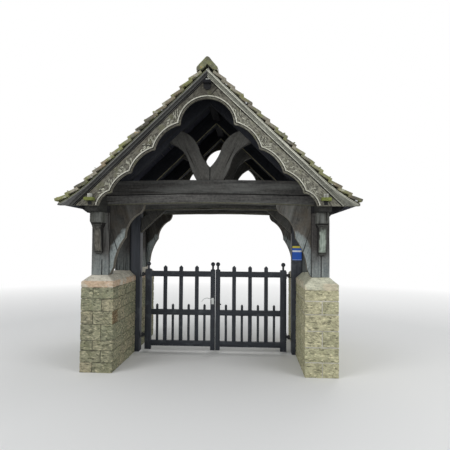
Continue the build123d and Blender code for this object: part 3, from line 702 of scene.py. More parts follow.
# Stonework
def dwarf_wall(side, stone, bed):
    """Coursed blocks with recessed joints, in place of the plain wall."""
    node = f"{side}_side_wall"
    low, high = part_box(node)
    inner, outer = (high[0], low[0]) if side == "left" else (low[0], high[0])
    middle = (inner + outer) / 2
    gap = JOINTS[side]
    bm = with_tones()

    def block(x_range, y_range, z_range):
        ends = []
        for pair, start, end in zip((sorted(x_range), y_range, z_range), low, high):
            first = pair[0] + (0.001 if abs(pair[0] - start) < 1e-6 else gap / 2)
            last = pair[1] - (0.001 if abs(pair[1] - end) < 1e-6 else gap / 2)
            ends.append((first, last))
        part = hewn_block([last - first for first, last in ends], block_edge, block_cell)
        ops.translate(part, vec=[sum(pair) / 2 for pair in ends], verts=part.verts)
        seed = random.uniform(1, 90)
        roughen(part, 0.0025, 9, seed)
        hew(part, 0.005, seed)
        append(bm, part, 0.9 * random.random())
        front_corner = side == "left" and inner in x_range and y_range[0] == low[1]
        if front_corner and brown_quoin[0] < sum(z_range) / 2 < brown_quoin[1]:
            tones = bm.faces.layers.float.get("tone")
            for face in bm.faces:
                centre = face.calc_center_median()
                if centre.x > inner - 0.012 and centre.y < y_range[1] and z_range[0] < centre.z < z_range[1]:
                    face[tones] = 1.0

    z = low[2]
    for number, height in enumerate(COURSES[side]):
        top = z + height * (high[2] - low[2]) / sum(COURSES[side])
        header = number % 2 == (0 if side == "left" else 1)
        split = inner + SIDES[side] * SPLITS[side][header] * (high[0] - low[0])
        ends = [random.uniform(0.20, 0.27) if header else random.uniform(0.34, 0.44) for end in range(2)]
        front_run = lengths(-housing - low[1] - ends[0], 0.20, 0.42)
        rear_run = lengths(high[1] - housing - ends[1], 0.20, 0.42)
        outer_run = lengths(high[1] - low[1] - sum(ends), 0.22, 0.42)
        rows = (
            (inner, low[1], [ends[0], *front_run], (0,)),
            (inner, housing, [*rear_run, ends[1]], (len(rear_run),)),
            (outer, low[1], [ends[0], *outer_run, ends[1]], (0, len(outer_run) + 1)),
        )
        for face_x, y, pieces, quoins in rows:
            for index, length in enumerate(pieces):
                reach = split if index in quoins else middle
                if abs(reach - face_x) > 0.01:
                    block((face_x, reach), (y, y + length), (z, top))
                y += length
        z = top
    hold_inside(bm, low, high)
    place(f"{side}_wall_blocks", bm, [stone], replaces=(node,), sharp=40)

    core = bmesh.new()
    inset = MORTAR_DEPTHS[side]
    stretches = ((low[1], -housing, inner), (housing, high[1], inner), (-housing, housing, middle))
    for start, end, reach in stretches:
        x_low, x_high = sorted((reach, outer))
        near = (x_low + inset, start + inset, low[2] + 0.001)
        far = (x_high - inset, end - inset, high[2] - 0.001)
        for vertex in ops.create_cube(core, size=1.0)["verts"]:
            vertex.co = [ends[value > 0] for value, ends in zip(vertex.co, zip(near, far))]
    slices(core, Y_AXIS, 0.08)
    slices(core, Z_AXIS, 0.08)
    roughen(core, 0.0015, 20)
    place(f"{side}_wall_mortar", core, [bed])


def dressed(node, cuts, gap, steps, waves, **rounding):
    """A node cut into separate stones, each with rounded edges, an uneven surface and its own tone."""
    bm = with_tones()
    for start, end in zip(cuts, cuts[1:]):
        part = between(node, start + gap, end - gap)
        soften(part, **rounding)
        slices(part, X_AXIS, steps[0])
        slices(part, Y_AXIS, steps[1])
        seed = random.uniform(1, 90)
        for amount, scale in waves:
            roughen(part, amount, scale, seed)
        append(bm, part, random.random())
    hold_inside(bm, *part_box(node))
    return bm


def coping_stones(side, stone):
    """The coping as four dressed stones to a side, with fine joints."""
    node = f"{side}_coping"
    low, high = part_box(node)
    cuts = [low[1] - 0.01, -0.62, -0.01, 0.60, high[1] + 0.01]
    bm = dressed(node, cuts, 0.0025, (0.06, 0.06), ((0.005, 6), (0.0025, 26)), width=0.008)
    place(f"{side}_coping_stones", bm, [stone], replaces=(node,), sharp=40)


# Roof
def slate(side, width, reach, heights, thickness, y_centre, twist=0.0):
    """One stone slate, its tail and its head placed by their reach down the slope and height above it."""
    (x_tail, z_tail), (x_head, z_head) = map(on_roof, reach, heights)
    length = math.hypot(x_head - x_tail, z_head - z_tail)
    part = hewn_block((width, length, thickness), min(0.005, thickness * 0.3), 0.05)
    seed = random.uniform(1, 90)
    for vertex in part.verts:
        if vertex.co.y < -length / 2 + 0.012:
            vertex.co.y += 0.007 * noise.noise(Vector((vertex.co.x * 22, seed, 0)))
    up_slope = Vector((x_head - x_tail, 0, z_head - z_tail)).normalized()
    normal = Vector((up_slope.z, 0, -up_slope.x))
    turn = Matrix((up_slope.cross(normal), up_slope, normal)).transposed().to_4x4()
    middle = Vector(((x_tail + x_head) / 2, y_centre, (z_tail + z_head) / 2)) - normal * thickness / 2
    part.transform(Matrix.Translation(middle) @ turn @ Matrix.Rotation(twist, 4, "Z"))
    if side == "left":
        ops.scale(part, vec=(-1, 1, 1), verts=part.verts)
        ops.reverse_faces(part, faces=part.faces)
    roughen(part, 0.003, 13, seed)
    roughen(part, 0.0015, 40, seed)
    return part


def cushion(bm, where, size):
    """A low cushion of moss."""
    made = ops.create_icosphere(bm, subdivisions=2, radius=1.0)["verts"]
    seed = random.uniform(1, 90)
    stretch = random.uniform(1.0, 1.8)
    for vertex in made:
        grown = 1 + 0.35 * noise.noise(vertex.co * 1.7 + Vector((seed, 0, 0)))
        vertex.co = Vector((vertex.co.x, vertex.co.y * stretch, vertex.co.z * 0.5)) * grown * size + where


def slates(side, stone, moss):
    """Courses of stone slates, with short slates under their tails at the verges."""
    node = f"{side}_roof_tiles"
    low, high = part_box(node)
    bm, tufts = with_tones(), bmesh.new()
    head = tile_head - (slate_lap - 1) * (tile_tail - tile_head)
    for course in range(tile_courses):
        tail = ridge_bed + (course + 1) * tile_gauge
        share = course / (tile_courses - 1)
        y = -tile_edge
        for width in lengths(2 * tile_edge, 0.17 + 0.12 * share, 0.25 + 0.18 * share):
            shift = random.uniform(-0.008, 0.006)
            if course == tile_courses - 1:
                shift = -abs(shift)
            thickness = random.uniform(0.029, 0.035)
            lift = random.uniform(-0.004, 0.002)
            reach, heights = (tail + shift, tail - slate_lap * tile_gauge), (tile_tail + lift, head + lift)
            twist = random.uniform(-0.012, 0.012)
            part = slate(side, width - slate_gap, reach, heights, thickness, y + width / 2, twist)
            append(bm, part, random.random())
            if random.random() < 0.5:
                x, z = on_roof(tail - random.uniform(0.012, 0.06), tile_tail - 0.004)
                where = Vector((x * SIDES[side], y + random.choice((0.01, width * random.random())), z))
                cushion(tufts, where, random.uniform(0.007, 0.014))
            y += width
        for end in (-1, 1):
            spot = tail - random.uniform(0.045, 0.080)
            width = random.uniform(0.16, 0.24)
            y = end * (tile_edge - random.uniform(0.003, 0.009) - width / 2)
            part = slate(side, width, (spot, spot - 0.085), (tile_tail - 0.030, 0.004), 0.012, y)
            append(bm, part, 0.75 + 0.25 * random.random())
            if random.random() < 0.45:
                size = random.uniform(0.014, 0.030)
                spot -= random.uniform(0.0, 0.05)
                y = end * random.uniform(1.531, 1.540)
                part = slate(side, 0.034, (spot, spot - size), (0.005, 0.003), 0.011, y, 0.1)
                append(bm, part, random.uniform(1.32, 1.5))
    hold_inside(bm, low, high)
    hold_inside(tufts, low, high)
    place(f"{side}_slates", bm, [stone], replaces=(node,), sharp=40)
    place(f"{side}_roof_moss", tufts, [moss], sharp=80)


def ridge_row(stone, bed):
    """Ridge stones end to end, with mortar between and under them."""
    node = "ridge_stones"
    low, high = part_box(node)
    cuts = list(accumulate([low[1], *lengths(high[1] - low[1], 0.42, 0.58)]))
    bm = dressed(node, cuts, 0.004, (0.035, 0.05), ((0.009, 7), (0.004, 24)), width=0.012, above=15)
    place("ridge_row", bm, [stone], replaces=(node,), sharp=45)

    bm = bmesh.new()
    rings = []
    for y in (low[1] + 0.006, high[1] - 0.006):
        ring = []
        for height, sign in zip(filling_span, (-1, 1)):
            crown = roof_crown + height / slope_cos
            row = (sign * filling_half, 0.0, -sign * filling_half)
            ring += [bm.verts.new((x, y, crown - abs(x) * math.tan(roof_pitch))) for x in row]
        rings.append(ring)
    skin(bm, rings)
    ops.recalc_face_normals(bm, faces=bm.faces)
    slices(bm, Y_AXIS, 0.05)
    slices(bm, X_AXIS, 0.03)
    roughen(bm, 0.003, 20)
    hold_inside(bm, low, high)
    place("ridge_filling", bm, [stone])

    bm = between(node, low[1] + 0.012, high[1] - 0.012)
    slices(bm, Y_AXIS, 0.06)
    ops.translate(bm, vec=(0, 0, -0.009), verts=bm.verts)
    roughen(bm, 0.002, 20)
    place("ridge_mortar", bm, [bed])


def roof_boarding(side, wood):
    """Separate boards under the slates."""
    bm = bmesh.new()
    along = board_gap
    reach = board_back - 0.001
    over, under = -0.001, 0.001 - board_thickness
    for width in lengths(slope_length - along, 0.14, 0.17):
        first, last = along + board_gap / 2, along + width - board_gap / 2
        corners = [on_roof(*spot) for spot in ((first, under), (last, under), (last, over), (first, over))]
        skin(bm, [[bm.verts.new((x * SIDES[side], y, z)) for x, z in corners] for y in (-reach, reach)])
        along += width
    ops.recalc_face_normals(bm, faces=bm.faces)
    slices(bm, Y_AXIS, 0.2)
    roughen(bm, 0.001, 4)
    place(f"{side}_boarding", bm, [wood], replaces=(f"{side}_roof_boards",))


# Carving
def carved_brackets(wood, shade_wood, tongues):
    """Brackets with a head and a narrower tongue below it, round at its foot and hollowed behind the head."""
    node = "carved_brackets"
    bm = solid_copy(node)
    # Material 1 is painted shade: on the rounded arrises of the tongue, in a band under the head, at the toe
    # and on the sides.
    for face in soften(bm, 0.011, segments=1):
        if face.calc_center_median().z < bracket_head:
            face.material_index = 1
    slices(bm, Z_AXIS, 0.022)
    slices(bm, Y_AXIS, 0.03)
    for height in (3, 7, 12, 18, 26, 36, 46):
        cut(bm, (0, 0, bracket_foot + 0.001 * height), Z_AXIS)
    for sign in SIDES.values():
        for number in range(-5, 6):
            cut(bm, (sign * (post_middle + number * bracket_cell), 0, 0), X_AXIS)
    bm.normal_update()
    for face in bm.faces:
        centre = face.calc_center_median()
        if centre.z > bracket_head + 0.032 or face.material_index == 1:
            continue
        # The band under the head and the toe take painted shade.
        sunk = centre.z > bracket_head + 0.018 or centre.z < bracket_foot + 0.008
        if sunk or abs(face.normal.x) > 0.8:
            face.material_index = 1
        elif centre.z < bracket_head + 0.012:
            face.material_index = 2 if centre.x < 0 else 3
    for vertex in bm.verts:
        across = abs(vertex.co.x) - post_middle
        above = vertex.co.z - bracket_foot
        share = min(1.0, max(0.0, (bracket_head + bracket_neck - vertex.co.z) / (2 * bracket_neck)))
        half = tongue_width / 2
        if above < foot_round:
            half -= foot_round - math.sqrt(max(0.0, foot_round**2 - (foot_round - above) ** 2))
        across += (tongue_shift + across * half / bracket_half - across) * share
        vertex.co.x = math.copysign(post_middle + across, vertex.co.x)
        reach = abs(vertex.co.y) - bracket_back
        if reach > 0.004:
            bend = (abs(across - tongue_shift * share) / bracket_half) ** 2
            vertex.co.y -= math.copysign(bracket_hollow * min(1.0, reach / 0.05) * bend, vertex.co.y)
    roughen(bm, 0.0015, 8)
    place("carved_brackets_worn", bm, [wood, shade_wood, *tongues], replaces=(node,), sharp=45)


def scallop_line(node):
    """The scalloped edge of a gable board, from the arch down to the foot, evenly spaced."""
    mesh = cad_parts[node].data
    face_y = max(abs(vertex.co.y) for vertex in mesh.vertices)
    found = {}
    for vertex in mesh.vertices:
        along, height = slope_place(vertex.co)
        if abs(abs(vertex.co.y) - face_y) <= 1e-4 and height < -0.17 and abs(vertex.co.x) < 1.2705:
            found[round(along, 4)] = Vector((vertex.co.x, 0, vertex.co.z))
    corners = [found[along] for along in sorted(found)]
    line = []
    spacing = 0.005
    for number, (start, end) in enumerate(zip(corners, corners[1:])):
        before, after = corners[max(number - 1, 0)], corners[min(number + 2, len(corners) - 1)]
        second = 2 * before - 5 * start + 4 * end - after
        third = 3 * start - before - 3 * end + after
        count = max(1, int((end - start).length / spacing))
        for step in range(count):
            t = step / count
            line.append(0.5 * (2 * start + (end - before) * t + second * t * t + third * t * t * t))
    return [*line, corners[-1]]


def across_line(line, index):
    """The direction across a line at one of its points."""
    tangent = line[min(index + 1, len(line) - 1)] - line[max(index - 1, 0)]
    return Vector((-tangent.z, 0, tangent.x)).normalized()


def inset_line(line, distance):
    """The line moved into the wood by a distance, without the loops that it would make at the cusps."""
    tree = kdtree.KDTree(len(line))
    for index, point in enumerate(line):
        tree.insert(point, index)
    tree.balance()
    inward = 1 if line[-1].x > line[0].x else -1
    moved = [point + across_line(line, index) * inward * distance for index, point in enumerate(line)]
    return [spot for spot in moved if tree.find(spot)[2] > distance * 0.985]


def roll(bm, line, width, height, face_y, sides=6):
    """A half-round bead along a line on a gable, standing proud of a face by its height."""
    rings = []
    for index, point in enumerate(line):
        across = across_line(line, index)
        ring = []
        for step in range(sides + 1):
            angle = math.pi * step / sides
            spot = point + across * math.cos(angle) * width / 2
            rise = height * math.sin(angle) - 0.001
            ring.append(bm.verts.new((spot.x, face_y + math.copysign(rise, rise * face_y), spot.z)))
        rings.append(ring)
    skin(bm, rings)


def leaf(bm, root, heading, length, width, height, face_y):
    """A carved lobe with a raised rib, lying on a gable board."""
    outward = 1 if face_y > 0 else -1
    side = Vector((-heading.z, 0, heading.x))
    rings = []
    count = 7
    for row in range(count + 1):
        share = row / count
        half = 0.5 * width * math.sin(math.pi * min(1, share * 0.92 + 0.08)) ** 0.7 + 0.0005
        middle = root + heading * length * share + side * (0.12 * length * share * share)
        ring = []
        for across, rise in LEAF_PROFILE:
            spot = middle + side * half * across
            lift = height * rise * math.sin(math.pi * (0.12 + 0.8 * share))
            ring.append(bm.verts.new((spot.x, face_y + outward * lift, spot.z)))
        rings.append(ring)
    skin(bm, rings)


def trim(name, bm, materials, sharp=50, uneven=None):
    """Places a piece of carved trim, its faces turned outward."""
    ops.recalc_face_normals(bm, faces=bm.faces)
    if uneven:
        roughen(bm, *uneven)
    place(name, bm, materials, sharp=sharp)


def carved_gable(end, side, woods):
    """The beads, the dark line between them, painted shade of a groove, and the leaves in the spandrels of
    one gable board.
    """
    wood, bead_wood, leaf_wood, dark_wood, ground = woods
    node = f"{end}_{side}_bargeboard"
    face_y = ENDS[end] * board_face
    line = scallop_line(node)
    bm = bmesh.new()
    roll(bm, inset_line(line, edge_bead[0]), *edge_bead[1:], face_y)
    outer_faces = len(bm.faces)
    roll(bm, inset_line(line, main_bead[0]), *main_bead[1:], face_y)
    bm.faces.ensure_lookup_table()
    for face in bm.faces[outer_faces:]:
        face.material_index = 1
    trim(f"{node}_beads", bm, [wood, bead_wood], uneven=(0.0012, 14, 3.0))

    # A dark strip between the beads: painted shade of a groove.
    bm = bmesh.new()
    sunk = inset_line(line, sum(groove_span) / 2)
    roll(bm, sunk, groove_span[1] - groove_span[0], 0.0050, face_y, sides=2)
    trim(f"{node}_groove", bm, [dark_wood], sharp=35)
    carved_foliage(node, line, face_y, leaf_wood, ground)


def carved_foliage(node, line, face_y, wood, ground):
    """Rows of small lobes in the spandrels, longest at the cusps, each over a larger dark lobe of painted
    shade.
    """
    heights = [slope_place(point) for point in line]
    cusps = []
    for index in range(12, len(line) - 12):
        nearby = [height for along, height in heights[index - 12 : index + 13]]
        if heights[index][1] == min(nearby) and 0.4 < heights[index][0] < 1.95:
            cusps.append(heights[index][0])
    lobes, sunk = bmesh.new(), bmesh.new()
    for row, (distance, reach) in enumerate(LEAF_ROWS):
        inside = inset_line(line, distance)
        for index in range(3 + 4 * (row % 2), len(inside) - 3, 8):
            root = inside[index]
            along, height = slope_place(root)
            gap = along - min(cusps, key=lambda cusp: abs(along - cusp))
            if abs(gap) > reach:
                continue
            away = (inside[index + 2] - inside[index - 2]).normalized() * (1 if gap > 0 else -1)
            inward = Vector((-away.z, 0, away.x))
            if slope_place(root + inward)[1] < height:
                inward.negate()
            heading = (away + inward * random.uniform(0.05, 0.40)).normalized()
            length = 0.034 + 0.014 * (1 - abs(gap) / reach)
            leaf(lobes, root, heading, length, random.uniform(0.011, 0.015), 0.011, face_y)
            # A larger dark lobe under each leaf: painted shade round it.
            leaf(sunk, root - heading * 0.003, heading, length + 0.005, 0.018, 0.0035, face_y)
    trim(f"{node}_leaf_shadows", sunk, [ground])
    trim(f"{node}_foliage", lobes, [wood], uneven=(0.0015, 18, 5.0))


def verge_moulding(side, wood):
    """The fascia and its steps, the top cut down for the bedding of the slates."""
    node = f"{side}_verge_mouldings"
    bm = solid_copy(node)
    slices(bm, SLOPES[side], 0.06)
    for vertex in bm.verts:
        along, height = roof_place(vertex.co)
        if height > -slate_bed:
            x, z = on_roof(min(along, slope_length), -slate_bed)
            vertex.co.x, vertex.co.z = math.copysign(x, vertex.co.x), z
    bm.normal_update()
    soften(bm, 0.002)
    roughen(bm, 0.0015, 5)
    place(f"{node}_worn", bm, [wood], replaces=(node,))


def verge_lines(side, end, pale, dark, woods):
    """A pale arris and a raised edge along the fascia, reeds with dark quirks below it, and a dark joint: the
    pale strips are painted highlights, the quirks and the joint painted shade.
    """
    outward, sign = ENDS[end], SIDES[side]

    def along_roof(height):
        spots = [on_roof(0.02 + (slope_length - 0.04) * step / 40, height) for step in range(41)]
        return [Vector((sign * x, 0, z)) for x, z in spots]

    def straight(height):
        level = roof_crown + height / slope_cos
        foot_x = (level - board_foot) / math.tan(roof_pitch)
        top, foot = Vector((0, 0, level)), Vector((foot_x * sign, 0, board_foot + 0.002))
        return [top.lerp(foot, step / 30) for step in range(31)]

    def strip(name, line, width, height, face, wood, seed, sides=6):
        bm = bmesh.new()
        roll(bm, line, width, height, outward * face, sides)
        trim(f"{end}_{side}_{name}", bm, [wood], uneven=(0.0010, 7, seed))

    # The pale arris and the raised edge: painted highlights, the left arris mossy as well.
    strip("verge_arris", along_roof(-slate_bed - 0.004), 0.008, 0.005, gable_face - 0.003, pale, 1)
    strip("verge_edge", along_roof(-0.0345), 0.012, 0.0034, gable_face, woods[0], 4, 4)
    # Each reed is pale for a painted highlight or dark for painted shade; each quirk is painted shade.
    for number, (wood, quirk) in enumerate(zip(woods[1:], (0.0055, 0.0025, 0.0060))):
        middle = -fascia_depth - (number + 0.5) * reed_depth
        face = gable_face - (number + 1) * reed_step
        strip(f"reed_{number}", straight(middle - 0.001), reed_depth * 0.66, 0.006, face, wood, 7 + number)
        under = straight(middle + reed_depth * 0.42)
        strip(f"quirk_{number}", under, quirk, 0.0030, face, dark, 11 + number, 2)
    shadow = -fascia_depth - 3 * reed_depth - 0.0065
    strip("shadow_line", straight(shadow), 0.0150, 0.0032, board_face, dark, 15, 2)


def seam(name, start, end, width, faces, wood):
    """A thin dark strip on the joint between two timbers, standing a hair proud of both their faces: painted
    shade of the joint.
    """
    start, end = Vector(start), Vector(end)
    run = end - start
    bm = bmesh.new()
    ops.create_cube(bm, size=1.0)
    ops.scale(bm, vec=(width, faces[1] - faces[0], run.length), verts=bm.verts)
    slices(bm, Z_AXIS, 0.03)
    ops.rotate(bm, matrix=Matrix.Rotation(math.atan2(run.x, run.z), 3, "Y"), verts=bm.verts)
    ops.translate(bm, vec=(start + end) / 2 + Y_AXIS * sum(faces) / 2, verts=bm.verts)
    place(name, bm, [wood])


# Materials of the timbers
# Near black, faintly blue, for the rafters under the roof: painted shade.
roof_tones = ((0.009, 0.010, 0.013), (0.025, 0.027, 0.033))
damp_foot = (1.68, 1.74, 1.15)
# The fade darkens the middle posts: painted shade under the roof.
post_oak = timber(
    "post_oak",
    Z_AXIS,
    (0.036, 0.034, 0.033),
    (0.105, 0.098, 0.090),
    silver=0.35,
    fade=(Y_AXIS, 0.4, 0.9, 0.42),
    foot=(1.17, 1.52, 0),
)
beam_oak = timber("beam_oak", X_AXIS, (0.017, 0.017, 0.017), (0.066, 0.063, 0.058), silver=0.2, lean=1.35)
beam_low = timber("beam_low", X_AXIS, (0.032, 0.032, 0.031), (0.120, 0.116, 0.108), silver=0.25, lean=0.85)
# Paler, for the lower arris of the tie beams: painted highlight.
beam_edge = timber("beam_edge", X_AXIS, (0.05, 0.049, 0.036), (0.15, 0.147, 0.110), lean=1.3)
# Near black, for the eaves pads and the lower parts of the wedges: painted shade under the eaves and the
# tenons.
pad_oak = timber("pad_oak", X_AXIS, (0.010, 0.010, 0.011), (0.034, 0.034, 0.034))
plate_oak = timber("plate_oak", Y_AXIS, (0.014, 0.014, 0.013), (0.046, 0.046, 0.041))
# The ridge beam and the roof boards are near black as well: painted shade under the roof.
ridge_oak = timber("ridge_oak", Y_AXIS, (0.004, 0.004, 0.005), (0.012, 0.012, 0.015))
board_oak = timber("board_oak", Y_AXIS, (0.026, 0.028, 0.040), (0.058, 0.063, 0.088))
wedge_oak = timber("wedge_oak", Z_AXIS, (0.20, 0.20, 0.18), (0.52, 0.52, 0.47))
pale_wedge = timber("pale_wedge", Z_AXIS, (0.62, 0.64, 0.58), (0.84, 0.86, 0.80))
tenon_moss = timber("tenon_moss", Y_AXIS, (0.075, 0.088, 0.022), (0.27, 0.30, 0.09))
# The braces' seam is painted shade where they meet the posts.
brace_oak = timber(
    "brace_oak",
    (0.30, 0, 1),
    (0.026, 0.026, 0.024),
    (0.085, 0.081, 0.073),
    silver=0.2,
    foot=damp_foot,
    mirrored=True,
    warm=0.4,
    lean=2.2,
    seam=1.2595,
)
# Paler than the braces' faces: painted light on their soffits. Their arrises are lichen grey with a painted
# highlight.
soffit_oak = timber("soffit_oak", Z_AXIS, (0.075, 0.068, 0.056), (0.230, 0.212, 0.172))
brace_edge = timber("brace_edge", Z_AXIS, (0.10, 0.10, 0.055), (0.26, 0.26, 0.16), foot=damp_foot)
strut_tones = ((0.038, 0.037, 0.034), (0.096, 0.093, 0.084))
strut_oak = timber("strut_oak", (0.5, 0, 1), *strut_tones, silver=0.1, mirrored=True, lean=1.5)
bracket_oak = timber("bracket_oak", Z_AXIS, (0.040, 0.041, 0.037), (0.125, 0.128, 0.114), silver=0.5)
tongue_oak = (
    tongue_panel("left_tongue_oak", (0.060, 0.055, 0.045), (0.175, 0.165, 0.140)),
    tongue_panel("right_tongue_oak", (0.19, 0.225, 0.190), (0.37, 0.42, 0.360)),
)
rafter_oak = slope_timbers("rafter_oak", roof_tones, roof_tones)
# Pale, for the lower arrises of the rafters and the straight braces: painted highlight.
arris_oak = timber("arris_oak", SLOPES["right"], (0.10, 0.092, 0.058), (0.30, 0.276, 0.175))
# Near black: painted shade in cracks, grooves, quirks and joints, and on the brackets and the left verge
# where shade falls.
painted_shade_oak = timber("painted_shade_oak", SLOPES["right"], (0.006, 0.006, 0.006), (0.018, 0.017, 0.016))
stain_upright = gate_stain("gate_stain_upright", Z_AXIS)
stain_level = gate_stain("gate_stain_level", X_AXIS)


def slanted(face):
    """Whether a face is part of the rounding between the front or back of a timber and its side."""
    return 0.3 < abs(face.normal.y) < 0.95


def post_parts(face):
    """1 inside a drying crack, painted shade."""
    centre = face.calc_center_median()
    cracks = (*CRACKS["left"], *CRACKS["right"])
    near = any(abs(centre.x - x) < crack_width and centre.y * facing > 1.0 for x, top, facing in cracks)
    return 1 if near and 0.05 < abs(face.normal.y) < 0.95 else 0


def tenon_ends(face):
    """1 outside the gable boards."""
    return 1 if abs(face.calc_center_median().y) > board_face - 0.002 else 0


def rafter_arrises(face):
    """1 along the lower arrises, painted as highlights."""
    y, normal = face.calc_center_median().y, face.normal
    found = face.calc_area() > 1e-5 and slanted(face) and normal.z < -0.1
    return 1 if found and arris_depths[0] < y < arris_depths[1] else 0


def brace_sides(face):
    """1 along the arrises, lichen grey with a painted highlight, 2 on the soffit and the back, painted paler
    as if lit.
    """
    across = abs(face.normal.y)
    return 2 if across < 0.3 else 1 if across < 0.95 else 0


def tie_parts(face):
    """1 in the sunk line along the tie beam, painted shade, 2 on its lower arris, painted highlight, 3 on the
    band between them.
    """
    centre, normal = face.calc_center_median(), face.normal
    depth = abs(centre.y)
    shallow, deep = tie_line_depths
    if tie_line[0] < centre.z < tie_line[1] and shallow < depth and (depth < deep or abs(normal.y) < 0.5):
        return 1
    if normal.z < -0.1 and slanted(face) and centre.z < tie_arris_top:
        return 2
    return 3 if centre.z < tie_band_top else 0


def wedge_heads(face):
    """1 on the parts of the wedges that stand above the tenons, 2 on those at the ridge; the rest stay near
    black, painted shade below the tenons.
    """
    height = face.calc_center_median().z
    return 2 if height > ridge_wedges else 1 if plate_wedges[0] < height < plate_wedges[1] else 0


# Timbers
for side in SIDES:
    shakes = [
        (Y_AXIS * facing, X_AXIS, x, Z_AXIS, crack_foot, top, crack_width, crack_depth)
        for x, top, facing in CRACKS[side]
    ]
    posts = [post_oak, painted_shade_oak]
    worn(f"{side}_posts", posts, Z_AXIS, width=0.008, amount=0.003, choose=post_parts, shakes=shakes)
    worn(f"{side}_wall_plate", [plate_oak, tenon_moss], Y_AXIS, choose=tenon_ends)
    worn(f"{side}_rafters", [rafter_oak[side], arris_oak], SLOPES[side], choose=rafter_arrises)
    worn(f"{side}_struts", [strut_oak], Z_AXIS, width=0.006)
worn("gate_posts", [gate_stain("gate_post_stain", Z_AXIS)], Z_AXIS, width=0.008)
worn("eaves_pads", [pad_oak], X_AXIS)
carved_brackets(bracket_oak, painted_shade_oak, tongue_oak)
worn("arched_braces", [brace_oak, brace_edge, soffit_oak], Z_AXIS, width=0.010, choose=brace_sides)
worn("straight_braces", [strut_oak, arris_oak], X_AXIS, width=0.008, choose=rafter_arrises)
beams = [beam_oak, painted_shade_oak, beam_edge, beam_low]
for truss in ("front", "middle", "rear"):
    worn(f"{truss}_tie_beam", beams, X_AXIS, amount=0.003, choose=tie_parts)
worn("ridge_beam", [ridge_oak], Y_AXIS)
worn("tenon_wedges", [pad_oak, wedge_oak, pale_wedge], Z_AXIS, width=0.006, step=0.02, choose=wedge_heads)
for end, outward in ENDS.items():
    foot, top = [(0, 0, height) for height in strut_joint]
    seam(f"{end}_strut_joint", foot, top, 0.010, sorted(outward * y for y in strut_faces), painted_shade_oak)
    foot, top = [(-outward * x, 0, height) for x, height in apex_joint]
    seam(f"{end}_apex_joint", foot, top, 0.006, sorted(outward * y for y in apex_faces), painted_shade_oak)

# Gables
# The right slope's gable, verge, edge and reed timbers are paler than the left's: painted light, the right
# slope being lit more. The right verge and edge are darker towards their foot.
gable_oak = {
    "left": carved_oak("left_gable_oak", SLOPES["left"]),
    "right": carved_oak("right_gable_oak", SLOPES["right"], 0.10),
}
verge_oak = slope_timbers(
    "verge_oak",
    ((0.035, 0.035, 0.036), (0.095, 0.094, 0.090), 0.2),
    ((0.15, 0.15, 0.12), (0.48, 0.48, 0.40), 0.3, (Z_AXIS, 2.05, 2.60, 0.55)),
    moss=0.4,
)
bead_oak = slope_timbers(
    "bead_oak",
    ((0.36, 0.355, 0.30), (0.74, 0.73, 0.64)),
    ((0.38, 0.375, 0.31), (0.76, 0.75, 0.65)),
    moss=0.3,
)
fine_edge = slope_timbers(
    "fine_edge",
    ((0.11, 0.11, 0.10), (0.26, 0.26, 0.24)),
    ((0.42, 0.42, 0.35), (0.74, 0.74, 0.63), 0.0, (Z_AXIS, 2.05, 2.60, 0.6)),
)
reed_shade = slope_timbers(
    "reed_shade",
    ((0.022, 0.022, 0.022), (0.060, 0.060, 0.056)),
    ((0.10, 0.10, 0.085), (0.34, 0.34, 0.28)),
)
# Dark, for the lobes under the leaves: painted shade.
painted_leaf_shade = timber("painted_leaf_shade", X_AXIS, (0.016, 0.015, 0.013), (0.055, 0.052, 0.045))
# Pale leaves: painted highlights on the carving.
relief_oak = timber("relief_oak", X_AXIS, (0.30, 0.30, 0.25), (0.78, 0.77, 0.66))
# The arrises are pale as painted highlights, the left one mossy green as well.
arris_woods = {
    "left": timber("mossy_arris", SLOPES["right"], (0.10, 0.11, 0.05), (0.34, 0.36, 0.20)),
    "right": bead_oak["right"],
}
# The last reed on the left is near black: painted shade widening the dark joint below it.
last_reed = {"left": painted_shade_oak, "right": fine_edge["right"]}
for side in SIDES:
    verge_moulding(side, verge_oak[side])
    for end in ENDS:
        worn(f"{end}_{side}_bargeboard", [gable_oak[side]], SLOPES[side], width=0.006)
        carved_gable(end, side, (gable_oak[side], bead_oak[side], relief_oak, painted_shade_oak, painted_leaf_shade))
        woods = (fine_edge[side], reed_shade[side], verge_oak[side], last_reed[side])
        verge_lines(side, end, arris_woods[side], painted_shade_oak, woods)

# Walls and roof
WALL_TONES = {
    "left": ((0.30, 0.305, 0.205), (0.42, 0.38, 0.260), 1.0, 0.35, 0.45, 0.75),
    "right": ((0.50, 0.485, 0.310), (0.60, 0.560, 0.370), 0.0, 0.15, 0.25, 0.70),
}
COPING_TONES = {
    "left": ((0.62, 0.585, 0.49), (0.68, 0.65, 0.56), 0.0, 0.2, 0.25, 0.3, 0.7),
    "right": ((0.60, 0.60, 0.46), (0.68, 0.67, 0.52), 0.0, 0.15, 0.3, 0.3, 0.3),
}
BEDS = {
    "left": mortar("dark_mortar", (0.20, 0.195, 0.155), (0.11, 0.108, 0.085)),
    "right": mortar("pale_mortar"),
}
slate_stone = roof_stone("slate_stone", 0.65)
green_moss = moss_cushion()
for side in SIDES:
    dwarf_wall(side, sandstone(f"{side}_wall_stone", *WALL_TONES[side]), BEDS[side])
    coping_stones(side, sandstone(f"{side}_coping_stone", *COPING_TONES[side]))
    slates(side, slate_stone, green_moss)
    roof_boarding(side, board_oak)
ridge_row(roof_stone("ridge_slates", 0.35), mortar())

# Gates
for side in SIDES:
    body = f"{side}_gate"
    worn(f"{side}_gate_stiles", [stain_upright], Z_AXIS, body)
    worn(f"{side}_gate_pickets", [stain_upright], Z_AXIS, body, width=0.003, step=0.2)
    worn(f"{side}_gate_rails", [stain_level], X_AXIS, body, width=0.003)

